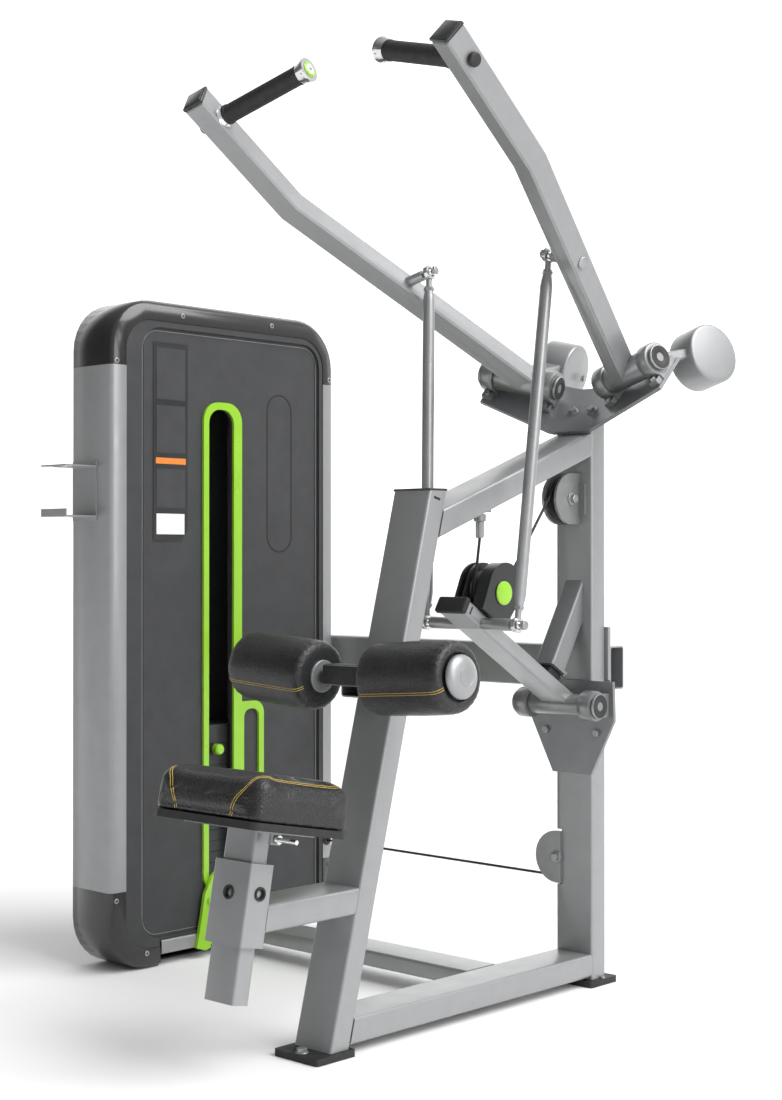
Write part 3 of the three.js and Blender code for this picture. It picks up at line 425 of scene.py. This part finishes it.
# ------------------------------------------------------------------ sewing
def stitches(name, target, path, body, offsets=(-2.6, 2.6), pitch=4.6, thickness=0.55):
    """Rows of gold stitches along a path laid on a soft piece; the path is in machine layout."""
    world = [place(p) for p in path]
    lengths = [0.0]
    for a, b in zip(world, world[1:]):
        lengths.append(lengths[-1] + (b - a).length)

    def along_path(d):
        for i in range(len(world) - 1):
            if d <= lengths[i + 1] or i == len(world) - 2:
                k = (d - lengths[i]) / max(1e-9, lengths[i + 1] - lengths[i])
                return world[i].lerp(world[i + 1], k), (world[i + 1] - world[i]).normalized()

    points, faces = [], []
    count = int(lengths[-1] / (pitch * MM))
    for offset in offsets:
        for i in range(count):
            p, t = along_path((i + 0.5) * pitch * MM)
            _, q, n, _ = target.closest_point_on_mesh(p)
            side = t.cross(n).normalized()
            _, q, n, _ = target.closest_point_on_mesh(q + side * offset * MM)
            t = (t - n * t.dot(n)).normalized()
            side = t.cross(n)
            base = len(points)
            half = pitch * 0.46 * MM
            for k, (d, r) in enumerate(((-1.0, 0.35), (-0.6, 1.0), (0.6, 1.0), (1.0, 0.35))):
                for m in range(6):
                    a = math.pi * m / 3
                    points.append(q + n * 0.15 * MM + t * d * half +
                                  (side * math.cos(a) + n * math.sin(a)) * r * thickness * MM)
            for k in range(3):
                for m in range(6):
                    j = (m + 1) % 6
                    faces.append((base + 6 * k + m, base + 6 * k + j,
                                  base + 6 * k + 6 + j, base + 6 * k + 6 + m))
            faces += [tuple(base + m for m in range(6)), tuple(base + 18 + m for m in range(6))]
    return make(name, [p / MM - SHIFT for p in points], faces, THREAD, body, 60)


# ------------------------------------------------------------------ seat cushion
def inflate(obj, keep_below, cap):
    """Swells a closed padded shape with cloth pressure and holds its underside."""
    remesh = obj.modifiers.new("remesh", "REMESH")
    remesh.mode, remesh.voxel_size = "VOXEL", 0.006
    apply_modifiers(obj)
    rest = [v.co.copy() for v in obj.data.vertices]
    held = obj.vertex_groups.new(name="held")
    held.add([v.index for v in obj.data.vertices if keep_below(v.co)], 1.0, "REPLACE")
    cloth = obj.modifiers.new("cloth", "CLOTH")
    cloth.settings.use_pressure = True
    cloth.settings.uniform_pressure_force = 4
    cloth.settings.vertex_group_mass = "held"
    cloth.settings.effector_weights.gravity = 0
    cloth.point_cache.frame_start, cloth.point_cache.frame_end = 1, 20
    for number in range(1, 21):
        bpy.context.scene.frame_set(number)
    apply_modifiers(obj)
    bpy.context.scene.frame_set(1)
    for v, start in zip(obj.data.vertices, rest):
        move = v.co - start
        if move.length > cap:
            v.co = start + move.normalized() * cap
    obj.vertex_groups.clear()


def apply_modifiers(obj):
    bpy.context.view_layer.update()
    done = bpy.data.meshes.new_from_object(obj.evaluated_get(bpy.context.evaluated_depsgraph_get()))
    obj.modifiers.clear()
    old = obj.data
    obj.data = done
    bpy.data.meshes.remove(old)


def subdivide(obj):
    smooth = obj.modifiers.new("smooth", "SUBSURF")
    smooth.levels = smooth.render_levels = 1
    apply_modifiers(obj)
    obj.data.polygons.foreach_set("use_smooth", [True] * len(obj.data.polygons))


def seat_point(u, v, w):
    return SEAT_BASE + X * u + SEAT_REAR * v + SEAT_UP * w


def cushion():
    width, length = 290.0, 242.0
    points, faces = [], []
    rings = 22
    # Stacked rounded rectangles: near-vertical lower walls and a broad rounded top edge.
    for k in range(rings + 1):
        t = k / rings
        if t < 0.12:
            inset, w = 3.0 * (1 - t / 0.12) ** 2, 1.0 + t / 0.12 * 5
        elif t < 0.45:
            inset, w = 0.0, 6 + (t - 0.12) / 0.33 * 50
        else:
            a = (t - 0.45) / 0.55 * math.pi / 2
            inset, w = 27 * (1 - math.cos(a)), 56 + 26.5 * math.sin(a)
        outline = rounded(width - 6 - 2 * inset, length - 6 - 2 * inset,
                          max(9.0, 24 - inset * 0.4), 9)
        for u, v in outline:
            points.append(seat_point(u, v, w))
    m = len(rounded(10, 10, 1, 9))
    for k in range(rings):
        for i in range(m):
            j = (i + 1) % m
            faces.append((k * m + i, k * m + j, (k + 1) * m + j, (k + 1) * m + i))
    faces.append(tuple(range(m)))
    # Crowned top: rings that shrink towards the middle.
    base = rings * m
    inner = [points[base + i] for i in range(m)]
    middle = seat_point(0, 0, 83.4)
    last = base
    for q in range(1, 9):
        k = q / 9
        start = len(points)
        for p in inner:
            flat = p.lerp(middle, k)
            points.append(flat + SEAT_UP * (1.3 * math.sin(k * math.pi / 2)))
        for i in range(m):
            j = (i + 1) % m
            faces.append((last + i, last + j, start + j, start + i))
        last = start
    faces.append(tuple(last + i for i in range(m)))
    pad = make("cushion", points, faces, LEATHER, "seat", 80)
    origin = place(SEAT_BASE)
    inflate(pad, lambda p: (p - origin).dot(SEAT_UP) < 0.02, 0.004)
    subdivide(pad)
    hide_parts("seat_cushion")

    seam = [(74, -130, 4), (80, -130, 24), (88, -130, 41), (97, -127, 58), (106, -120, 70),
            (114, -108, 78), (121, -92, 80), (126, -70, 80), (128, -30, 80), (128, 30, 80), (127, 80, 80),
            (122, 100, 79), (112, 113, 72), (100, 125, 58), (90, 128, 41), (80, 128, 20), (75, 128, 6)]
    for side, name in ((1, "right"), (-1, "left")):
        stitches(f"{name}_seat_stitches", pad, [seat_point(side * u, v, w) for u, v, w in seam], "seat")
    plate("seat_board", rounded(285, 237, 24, 9), -13.6, 14.0, (X, SEAT_REAR, SEAT_UP), SEAT_BASE,
          RUBBER, "seat")


cushion()


# ------------------------------------------------------------------ thigh rollers
def roller(side, m):
    run = m(ROLLER_RUN)
    origin = m(ROLLER_START)
    u, v, w = frame_of(run)
    L = ROLLER_LENGTH
    profile = [(23, 6.5), (40, 6.0), (54, 6.4), (61, 8.6), (66, 13.5), (68.4, 21), (69.2, 32),
               (69.6, 60), (69.8, 110), (69.6, 160), (69.2, L - 36), (68.2, L - 24), (65.6, L - 15.5),
               (61.5, L - 9.5), (55, L - 6.6), (47, L - 6.8), (43.5, L - 9.5), (42.6, L - 14),
               (23, L - 14), (23, 6.5)]
    fine = []
    for (r0, t0), (r1, t1) in zip(profile, profile[1:]):
        steps = max(1, int(math.hypot(r1 - r0, t1 - t0) / 3.5))
        fine += [(r0 + (r1 - r0) * i / steps, t0 + (t1 - t0) * i / steps) for i in range(steps)]
    fine.append(profile[-1])
    segments = 128
    points, faces = [], []
    for r, t in fine:
        for i in range(segments):
            a = 2 * math.pi * i / segments
            out = u * math.cos(a) + v * math.sin(a)
            pull = 0.0
            if r > 45:
                edge = max(0.0, 1 - min(abs(t - 10), abs(t - (L - 12))) / 26)
                pull = edge * (0.75 * noise.noise(Vector((math.cos(a) * 9, math.sin(a) * 9, t * 0.03))) +
                               0.45 * math.sin(a * 26 + 2 * noise.noise(Vector((a * 3, t * 0.02, 1.0)))))
                pull += 0.5 * noise.noise(Vector((math.cos(a) * 1.6, math.sin(a) * 1.6, t * 0.02)))
            points.append(origin + w * t + out * (r + pull))
    for k in range(len(fine) - 1):
        for i in range(segments):
            j = (i + 1) % segments
            faces.append((k * segments + i, k * segments + j,
                          (k + 1) * segments + j, (k + 1) * segments + i))
    pad = make(f"{side}_thigh_pad", points, faces, LEATHER, f"{side}_roller", 70)
    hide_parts(f"{side}_roller_pad")
    low_front = (Vector((0, -1, -0.42)) - w * Vector((0, -1, -0.42)).dot(w)).normalized()
    line = [origin + w * t + low_front * r for r, t in
            ((52, 5), (66, 12), (71, 22), (71, 60), (71, 110), (71, 160), (71, L - 22), (66, L - 12),
             (56, L - 5), (48, L - 5))]
    stitches(f"{side}_roller_stitches", pad, line, f"{side}_roller", (-2.2, 2.2))
    spindle = [(13.2, 0), (31, 0), (32, 1), (32, 5.2), (22, 5.2), (22, L - 6), (40, L - 6),
               (41.5, L - 4.5), (41.5, L - 1), (40.3, L + 1.6), (37, L + 4.6), (32, L + 7.4),
               (26, L + 9.3), (18.6, L + 10.7), (18, L + 10.3), (17.2, L + 10.3), (16.6, L + 10.9),
               (12, L + 11.5), (6, L + 12), (0.4, L + 12.2), (0.4, L - 2), (13.2, L - 2), (13.2, 0)]
    hub = lathe(f"{side}_hub", spindle, origin, run, SILVER, f"{side}_roller", 96)
    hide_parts(f"{side}_roller_hub")


both(roller)
for x in (-1, 1):
    side = "right" if x > 0 else "left"
    rod(f"{side}_shaft_collar", Vector((x * 54, 100, 711)), Vector((x * 66, 100, 712)), 17, BLACK, "frame")
block("roller_sleeve", Vector((0, 100, 717.5)), (X, Y, Z), (104, 46, 41), RUBBER, "frame", 5.0, 4)


# ------------------------------------------------------------------ arms and grips
def arm_details(side, m):
    body = f"{side}_arm"
    axis, high, low = m(ARM_AXIS), m(HIGH_RUN), m(LOW_RUN)
    grip_root, grip = m(GRIP_ROOT), m(GRIP_RUN)
    pivot = m(PIVOT_IN)
    tip = m(ARM_TIP)
    normal = m(BEND_NORMAL)
    across = high.cross(normal).normalized()

    # Black end caps on the tube's upper end, with a moulded rim.
    axes = (across, normal, high)
    block(f"{side}_arm_cap", tip + high * 3.2, axes, (50.6, 50.6, 7.5), BLACK, body, 2.8, 3)
    block(f"{side}_arm_cap_dome", tip + high * 6.2, axes, (43, 43, 4.5), BLACK, body, 2.0, 3)
    rod(f"{side}_barrel_sleeve", pivot + axis * 41.6, pivot + axis * 156.4, 30.3, SATIN, body, 1.5, 72)

    # Turned stud with its nut and ball.
    root, run = m(STUD_ROOT), m(STUD_RUN)
    reach = (BALL_TOP - STUD_ROOT).length
    rod(f"{side}_stud", root + run * 24, root + run * (reach - 13.6), 11.3, SATIN, body, 1.2)
    rod(f"{side}_stud_cap", root - run * 25, root - run * 31.5, 12.5, SATIN, body, 2.0)
    ball = m(BALL_TOP)
    lathe(f"{side}_stud_ball", ball_profile(), ball, run, BRIGHT, body, 40, 60)
    hexagon(f"{side}_stud_nut", ball + run * 13.6, run, 16.4, 7, SATIN, body)

    # Grip: flared collars, coloured rings, moulded rubber and the end face with its screw.
    flange = [(14.2, 20), (22, 20), (23.5, 21.2), (23.5, 24), (17, 29), (16, 31.6), (14.2, 31.6), (14.2, 20)]
    lathe(f"{side}_grip_flange", flange, grip_root, grip, BRIGHT, body, 72)
    trim = [(14.4, 16.5), (24.2, 16.5), (25, 17.3), (25, 19.2), (24.2, 20), (14.4, 20), (14.4, 16.5)]
    lathe(f"{side}_grip_ring", trim, grip_root, grip, LIME, body, 72)
    rod(f"{side}_grip_tube", grip_root, grip_root + grip * 34, 14.3, BRIGHT, body, 0.4)
    ribs = [(14.3, 32), (20.4, 32), (20.9, 32.6), (20.9, 39.4), (20.3, 40.2), (19.3, 41)]
    t = 44.0
    while t < 214:
        ribs += [(19.35, t), (19.0, t + 0.5), (19.0, t + 1.1), (19.35, t + 1.6)]
        t += 5.6
    ribs += [(19.5, 220), (20.4, 222.5), (20.4, 227), (19.8, 227.7), (14.3, 227.7), (14.3, 32)]
    rubber = lathe(f"{side}_grip_rubber", ribs, grip_root, grip, RUBBER, body, 72, 30)
    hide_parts(f"{side}_grip")
    collar = [(14.5, 227.8), (20.4, 227.8), (21, 229), (23.8, 243), (25.3, 246.5), (25.3, 249.2),
              (24.6, 250.1), (17, 250.1), (16.4, 249.6), (14.5, 249.6), (14.5, 227.8)]
    lathe(f"{side}_grip_collar", collar, grip_root, grip, BRIGHT, body, 72)
    lathe(f"{side}_grip_end", [(0.3, 249.8), (16.2, 249.8), (16.2, 251.2), (15.2, 251.9), (0.3, 252.1)],
          grip_root, grip, LIME, body, 56)
    lathe(f"{side}_grip_disc", [(0.3, 251.6), (10.5, 251.6), (10.5, 252.6), (9.7, 253), (0.3, 253.2)],
          grip_root, grip, WHITE, body, 48)
    hexagon(f"{side}_grip_screw", grip_root + grip * 253, grip, 6.4, 1.6, SATIN, body)
    rod(f"{side}_grip_knob", grip_root - grip * 24.5, grip_root - grip * 35, 13.5, NYLON, body, 3.5)

    # Counterweight drum with its two bolts.
    centre = m(DRUM_CENTRE)
    profile = [(0.4, -38), (60, -38), (64.5, -37.2), (67, -35), (68, -32),
               (68, 32), (67, 35), (64.5, 37.2), (60, 38), (0.4, 38)]
    drum = lathe(f"{side}_drum", profile, centre, axis, SILVER, body, 120, 35)
    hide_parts(f"{side}_counterweight")
    inner = -axis
    for k in (-1, 1):
        where = centre + inner * 37.6 + low * 20 * k
        rod(f"{side}_drum_washer_{k + 2}", where, where + inner * 2.2, 11, SATIN, body, 0.6)
        hexagon(f"{side}_drum_bolt_{k + 2}", where + inner * 2.0, inner, 14, 6, SATIN, body)


both(arm_details)


def bearing(name, origin, axis, body="frame", r=36.0, paint=CAST):
    """Turned bearing ring with a closed cap and a hexagon screw in its middle."""
    outer = [(12.9, 40.3), (r - 4, 40.3), (r - 1, 39.6), (r + 0.35, 37.6), (r + 0.35, 11.4),
             (r - 1, 9.2), (r - 4, 8.7), (26.4, 8.7), (26.4, 7), (12.9, 7), (12.9, 40.3)]
    lathe(f"{name}_ring", outer, origin, axis, paint, body, 96)
    lid = [(26.35, 8.9), (26.35, 1.2), (25.2, -0.3), (10.6, -0.9), (9.6, -0.4), (9.6, 0.8),
           (5.5, 0.8), (5.5, 3.4), (0.3, 3.4), (0.3, 8.9), (26.35, 8.9)]
    lathe(f"{name}_cap", lid, origin, axis, NYLON, body, 72)
    rim = [(25.4, -0.5), (26.6, -0.2), (27.3, 0.8), (27.3, 4.0), (26.4, 4.6), (25.4, -0.5)]
    lathe(f"{name}_rim", rim, origin, axis, SATIN, body, 72)
    hexagon(f"{name}_screw", origin + axis * 3.5, -axis, 8, 2.6, SATIN, body)


def arm_bearings(side, m):
    axis = m(ARM_AXIS)
    bearing(f"{side}_arm_inner_bearing", m(PIVOT_IN), axis)
    bearing(f"{side}_arm_outer_bearing", m(PIVOT_IN) + axis * 198, -axis)


both(arm_bearings)

# ------------------------------------------------------------------ lever, tie rods and stop
for x, side in ((1, "right"), (-1, "left")):
    bearing(f"{side}_lever_bearing", LEVER_PIVOT + X * 112 * x, -X * x, "frame", 33.0)
    rod(f"{side}_crossbar", crossbar(34.5 * x), crossbar(108.2 * x), 12.8, SATIN, "lever", 1.5)
    lathe(f"{side}_crossbar_ball", ball_profile(), crossbar(124 * x), X, BRIGHT, "lever", 40, 60)
    rod(f"{side}_crossbar_nut", crossbar(137.6 * x), crossbar(146.6 * x), 9.4, SATIN, "lever", 1.5)
rod("lever_barrel", LEVER_PIVOT - X * 69.2, LEVER_PIVOT + X * 69.2, 24.3, CAST, "lever", 1.0, 72)


def tie_rod(side, m):
    low, top = m(BALL_LOW), m(BALL_TOP)
    run = (top - low).normalized()
    n = (top - low).length
    low_end = [(0.3, 12.6), (6.4, 13.4), (6.4, 30), (9.3, 31), (9.3, 41), (11.4, 52), (12.8, 64)]
    profile = low_end + [(r, n - t) for r, t in reversed(low_end)]
    lathe(f"{side}_tie_rod_shank", profile, low, run, SATIN, f"{side}_tie_rod", 56, 30)
    for label, centre, axis, bore in (("low", low, X, 9.6), ("top", top, m(STUD_RUN), 11.0)):
        eye = [(bore, -5.2), (15, -5.2), (16.3, -3.6), (16.3, 3.6), (15, 5.2), (bore, 5.2), (bore, -5.2)]
        lathe(f"{side}_tie_rod_{label}_eye", eye, centre, axis, BRIGHT, f"{side}_tie_rod", 56, 30)
    hexagon(f"{side}_tie_rod_nut", low + run * 33, run, 19.6, 7, SATIN, f"{side}_tie_rod")
    hexagon(f"{side}_tie_rod_top_nut", low + run * (n - 40), run, 19.6, 7, SATIN, f"{side}_tie_rod")


both(tie_rod)
LEVER_AXES = (X, LEVER_UP, LEVER_RUN)
block("lever_bumper", lever_at(420, 9), LEVER_AXES, (80, 36, 15), RUBBER, "lever", 5.5, 4)
# A thin near-black sheet paints the shade inside the lever's slot.
block("lever_slot", lever_at(399, 9, 35.0), (LEVER_RUN, LEVER_UP, X), (4.5, 17, 0.8),
      SHADE_AND_SEAM_BLACK, "lever", 0.3, 1)
block("stop_pad", lever_at(70, 38), LEVER_AXES, (40, 21, 44), RUBBER, "frame", 4.0, 3)
rod("stop_pad_screw", lever_at(44, 46, 22), lever_at(44, 54, 22), 4.5, SATIN, "frame", 1.0)
cap = Vector((46, 512, 871))
rod("guard_cap_rim", cap, cap + X * 1.6, 26.5, SHELL, "lever", 0.6, 72)
rod("guard_cap", cap, cap + X * 3.6, 25.0, LIME, "lever", 1.6, 72)


# ------------------------------------------------------------------ sheaves and cables
def sheave(node, centre, axis, radius, bore):
    """Grooved wheel with dished sides; radius is the cable's middle line."""
    rim, w = radius + 5.1, 9.1
    half = [(bore + 0.2, -w), (bore + 9, -w), (bore + 10, -w + 2.5), (rim - 11, -w + 2.5),
            (rim - 9.5, -w), (rim - 0.8, -w), (rim, -w + 0.8), (radius - 4, -3.2)]
    profile = half + [(r, -t) for r, t in reversed(half)] + [half[0]]
    wheel = lathe(f"{node}_wheel", profile, centre, axis, NYLON, node, 96, 30)
    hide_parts(node)


STACK_X, STACK_Y, TOP_Z = -878, 473.5, 1452
CABLE_Y = 825
LEVER_C, UPPER_C = Vector((0, 512, 873)), Vector((0, 780, 1075))
LOWER_C, FOOT_C = Vector((-BIG_SHEAVE, CABLE_Y, 276)), Vector((STACK_X + FOOT_SHEAVE, CABLE_Y, 266))
REAR_C, FRONT_C = Vector((STACK_X, 780, TOP_Z)), Vector((STACK_X, STACK_Y + BIG_SHEAVE, TOP_Z))
BORE, SMALL_BORE = 8.3, 6.3
sheave("lever_sheave", LEVER_C, X, LEVER_SHEAVE, BORE)
sheave("upper_sheave", UPPER_C, X, BIG_SHEAVE, BORE)
sheave("lower_sheave", LOWER_C, Y, BIG_SHEAVE, BORE)
sheave("tower_foot_sheave", FOOT_C, Y, FOOT_SHEAVE, SMALL_BORE)
sheave("tower_rear_sheave", REAR_C, X, BIG_SHEAVE, BORE)
sheave("tower_front_sheave", FRONT_C, X, BIG_SHEAVE, BORE)


def yz(a):
    return Vector((0, math.cos(a), math.sin(a)))


def arc(centre, start, towards, radius, angle, steps=24):
    turns = [angle * i / steps for i in range(steps + 1)]
    return [centre + (start * math.cos(a) + towards * math.sin(a)) * radius for a in turns]


def split(a, b, n=16):
    return [a.lerp(b, i / n) for i in range(n + 1)]


ANCHOR = Vector((0, 490, 986))
between = UPPER_C - LEVER_C
rising = math.atan2(between.z, between.y) + math.asin((BIG_SHEAVE + LEVER_SHEAVE) / between.length)
to_anchor = ANCHOR - LEVER_C
entry = math.atan2(to_anchor.z, to_anchor.y) + math.acos(LEVER_SHEAVE / to_anchor.length)
QUARTER = math.pi / 2
leave = rising - QUARTER + 2 * math.pi
on_lever, off_lever = LEVER_C + yz(entry) * LEVER_SHEAVE, LEVER_C + yz(leave) * LEVER_SHEAVE
over = rising + QUARTER
on_upper = UPPER_C + yz(over) * BIG_SHEAVE
first = path_tube("cable_from_anchor", split(ANCHOR + Z * 2, on_lever), CABLE_R, NYLON, None)
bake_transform(first)
wrap = arc(LEVER_C, yz(entry), yz(entry + QUARTER), LEVER_SHEAVE, leave - entry)
path_tube("cable_round_lever", wrap, CABLE_R, NYLON, "lever")
second = path_tube("cable_to_upper", split(off_lever, on_upper), CABLE_R, NYLON, None)
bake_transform(second)
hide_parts("lever_cable")
route = (arc(UPPER_C, yz(over), yz(over - QUARTER), BIG_SHEAVE, over) +
         arc(LOWER_C, X, -Z, BIG_SHEAVE, QUARTER) + arc(FOOT_C, -Z, -X, FOOT_SHEAVE, QUARTER) +
         arc(REAR_C, Y, Z, BIG_SHEAVE, QUARTER) + arc(FRONT_C, Z, -Y, BIG_SHEAVE, QUARTER))
long_run = path_tube("long_run_cable", route, CABLE_R, NYLON, "frame")
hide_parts("long_cable")
down = FRONT_C - Y * BIG_SHEAVE
stack_end = Vector((STACK_X, STACK_Y, 562))
last = path_tube("stack_run_cable", split(stack_end, down, 30), CABLE_R, NYLON, None)
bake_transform(last)
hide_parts("stack_cable")
rod("upper_guard_washer", UPPER_C + X * 20, UPPER_C + X * 22.5, 15, SATIN, "frame", 0.8)
hexagon("upper_guard_bolt", UPPER_C + X * 22, X, 17, 9, SATIN, "frame")
rod("lower_guard_washer", LOWER_C - Y * 20, LOWER_C - Y * 22, 14, SATIN, "frame", 0.8)
hexagon("lower_guard_bolt", LOWER_C - Y * 21.6, -Y, 16, 7, SATIN, "frame")

# ------------------------------------------------------------------ frame details
POST_HALF, POST_TOP, FOOT_TOP = 25, 1079, 14
lean = math.radians(POST_LEAN)
post_mid = POST_HALF / math.cos(lean) + (POST_TOP - FOOT_TOP) * math.tan(lean)
block("post_cap", Vector((0, post_mid, POST_TOP + 2.2)), (X, Y, Z), (101, 53.5, 5.2), BLACK, "frame", 2.0, 3)
slot_at = Vector((50.1, 300, 1063.5))
# A thin near-black sheet paints the shade inside the post's slot.
block("post_slot", slot_at, (POST_REAR, POST_UP, X), (19, 5, 0.8), SHADE_AND_SEAM_BLACK, "frame", 0.3, 1)


def ring(name, origin, axis, body="frame"):
    """Black bush with a bolt sunk in its middle."""
    profile = [(8.2, 0.4), (8.2, -6), (13, -6), (13, 2.2), (12, 3.2), (9.6, 3.2), (8.6, 2.2), (8.2, 0.4)]
    lathe(f"{name}_bush", profile, origin, axis, NYLON, body, 48)
    rod(f"{name}_bolt", origin - axis * 8, origin - axis * 2.5, 7.4, SATIN, body, 1.2)


ring("sleeve_front", Vector((0, -209.2, 340)), -SEAT_REAR)
ring("sleeve_side", Vector((50, -179, 338)), X)
hexagon("front_foot_bolt", Vector((0, -26, 13.6)), Z, 19, 9, SATIN, "frame")
rod("front_foot_washer", Vector((0, -26, 12)), Vector((0, -26, 15)), 13, SATIN, "frame", 0.8)
for x in (-1, 1):
    hexagon(f"rear_foot_bolt_{x + 2}", Vector((x * 56, 842, 13.6)), Z, 9, 5, SATIN, "frame")
    hexagon(f"mount_bolt_{x + 2}", Vector((x * 70, 803.6, 560)), -Y, 15, 8, SATIN, "frame")

PLATE_UP, PLATE_OUT = Vector((0, 1, 1)).normalized(), Vector((0, -1, 1)).normalized()
for x in (-26, 26):
    where = Vector((x, 798, 1226)) + PLATE_UP * 66
    rod(f"bracket_washer_{x + 30}", where, where + PLATE_OUT * 2, 13, SATIN, "frame", 0.6)
    hexagon(f"bracket_bolt_{x + 30}", where + PLATE_OUT * 1.8, PLATE_OUT, 17, 9, SATIN, "frame")

# ------------------------------------------------------------------ weight tower
PANEL_AXES = (Y, Z, X)
FACE = Vector((TOWER_X1 - 9, 0, 0))
COVER_SCREWS = ((157, 1393), (351, 1512), (635, 1516), (833, 1397),
                (157, 168), (245, 36), (640, 30), (833, 168))
for i, (y, z) in enumerate(COVER_SCREWS):
    near, far = Vector((TOWER_X1, y, z)), Vector((TOWER_X0, y, z))
    rod(f"cover_screw_{i}", near - X, near + X * 1.6, 6.2, SATIN, "frame", 0.9)
    # Each screw's socket is a near-black disc of painted shade.
    rod(f"cover_socket_{i}", near + X * 1.2, near + X * 1.8, 2.8, SHADE_AND_SEAM_BLACK, "frame", 0.2)
    rod(f"far_screw_{i}", far, far - X * 2.6, 6.2, SATIN, "frame", 0.9)
# The groove round the logo is a near-black band of painted shade.
band("logo_groove", rounded(81, 387, 40, 12, (668.5, 1153.5)), 3.2, 0, 0.5, PANEL_AXES, FACE,
     SHADE_AND_SEAM_BLACK, "frame")
band("panel_line", [(240, 300), (240, 1470)], 2.2, 0, 0.4, PANEL_AXES, FACE, SHADE_AND_SEAM_BLACK, "frame", close=False)
band("panel_seam", [(790, 90), (790, 1450)], 2.2, 0, 0.4, PANEL_AXES, FACE, SHADE_AND_SEAM_BLACK, "frame", close=False)
band("lower_seam", rounded(556, 1398, 44, 10, (515, 773)), 1.6, 0, 0.5, PANEL_AXES, FACE, CAST, "frame")
placard = [(270, 1446), (270, 985), (352, 985), (372, 1010), (372, 1446)]
plate("placard", placard, 0, 1.6, PANEL_AXES, FACE, BLACK, "frame")
band("placard_edge", placard, 1.6, 1.6, 0.3, PANEL_AXES, FACE, PANEL, "frame")
for name, ya, yb, za, zb, paint in (("placard_bar", 276, 366, 1164, 1178, ORANGE),
                                    ("placard_box", 278, 362, 1000, 1048, WHITE),
                                    ("placard_window", 278, 364, 1190, 1300, PANEL),
                                    ("placard_window_low", 278, 364, 1062, 1152, PANEL),
                                    ("placard_head", 278, 364, 1314, 1434, PANEL)):
    plate(name, [(ya, za), (yb, za), (yb, zb), (ya, zb)], 1.6, 0.5, PANEL_AXES, FACE, paint, "frame")
GUIDE = [(4.2, -3), (9.5, -3), (13, 0.2), (13, 2), (10, 5), (6.5, 5.6), (4.4, 4.6), (4.2, -3)]
lathe("cable_guide", GUIDE, Vector((TOWER_X1, CABLE_Y, 231)), X, NYLON, "frame", 48)
hinge = Vector((TOWER_X1, 429, 133))
rod("increment_screw", hinge + X * 9, hinge + X * 14.4, 9.5, LIME, "increment_lever", 1.2)
# The hole at the pivot is a near-black disc of painted shade.
rod("increment_pivot", hinge + X * 13.8, hinge + X * 15.0, 4.6, SHADE_AND_SEAM_BLACK, "increment_lever", 0.4)


# ------------------------------------------------------------------ stage
def paint_stage():
    m = bpy.data.materials.new("floor")
    m.use_nodes = True
    nodes, links = m.node_tree.nodes, m.node_tree.links
    shader = nodes["Principled BSDF"]
    tint = nodes.new("ShaderNodeTexNoise")
    tint.inputs["Scale"].default_value = 3.0
    ramp = nodes.new("ShaderNodeMapRange")
    ramp.inputs["To Min"].default_value = 0.86
    ramp.inputs["To Max"].default_value = 0.90
    links.new(tint.outputs["Fac"], ramp.inputs["Value"])
    links.new(ramp.outputs["Result"], shader.inputs["Base Color"])
    shader.inputs["Roughness"].default_value = 0.75
    return m


floor_mesh = bpy.data.meshes.new("floor")
floor_mesh.from_pydata([(-40, -40, 0), (40, -40, 0), (40, 40, 0), (-40, 40, 0)], [], [(0, 1, 2, 3)])
floor_mesh.materials.append(paint_stage())
floor = bpy.data.objects.new("floor", floor_mesh)
bpy.context.collection.objects.link(floor)

world = bpy.data.worlds.new("studio")
bpy.context.scene.world = world
world.use_nodes = True
nodes, links = world.node_tree.nodes, world.node_tree.links
background = nodes["Background"]
direction = nodes.new("ShaderNodeTexCoord").outputs["Generated"]


def sky(towards, low, high, dark, bright):
    """Brightness that rises smoothly as a direction turns towards the given one."""
    dot = nodes.new("ShaderNodeVectorMath")
    dot.operation = "DOT_PRODUCT"
    dot.inputs[1].default_value = Vector(towards).normalized()
    links.new(direction, dot.inputs[0])
    fade = nodes.new("ShaderNodeMapRange")
    fade.interpolation_type = "SMOOTHSTEP"
    for socket, value in zip(("From Min", "From Max", "To Min", "To Max"), (low, high, dark, bright)):
        fade.inputs[socket].default_value = value
    links.new(dot.outputs["Value"], fade.inputs["Value"])
    return fade.outputs["Result"]


total = nodes.new("ShaderNodeMath")
total.operation = "ADD"
links.new(sky((-0.686, 0.728, 0.05), 0.35, 0.9, 0.0, 1.2), total.inputs[0])
links.new(sky((0.75, 0.45, 0.5), -0.5, 0.8, 0.14, 0.7), total.inputs[1])
links.new(total.outputs["Value"], background.inputs["Strength"])
background.inputs["Color"].default_value = (1.0, 1.0, 1.0, 1)


def softbox(name, location, target, size, power):
    lamp = bpy.data.lights.new(name, "AREA")
    lamp.shape, lamp.size, lamp.size_y, lamp.energy = "RECTANGLE", size[0], size[1], power
    obj = bpy.data.objects.new(name, lamp)
    bpy.context.collection.objects.link(obj)
    obj.location = location
    obj.rotation_euler = (Vector(target) - Vector(location)).to_track_quat("-Z", "Y").to_euler()


softbox("key", (4.4, -0.4, 2.2), (0.2, 0, 0.9), (1.6, 2.6), 45)

sun = bpy.data.lights.new("sky light", "SUN")
sun.energy, sun.angle = 2.8, math.radians(50)
sky_light = bpy.data.objects.new("sky light", sun)
bpy.context.collection.objects.link(sky_light)
sky_light.rotation_euler = Vector((-0.6, -0.22, -0.77)).to_track_quat("-Z", "Y").to_euler()

bpy.context.scene.view_settings.view_transform = "Standard"
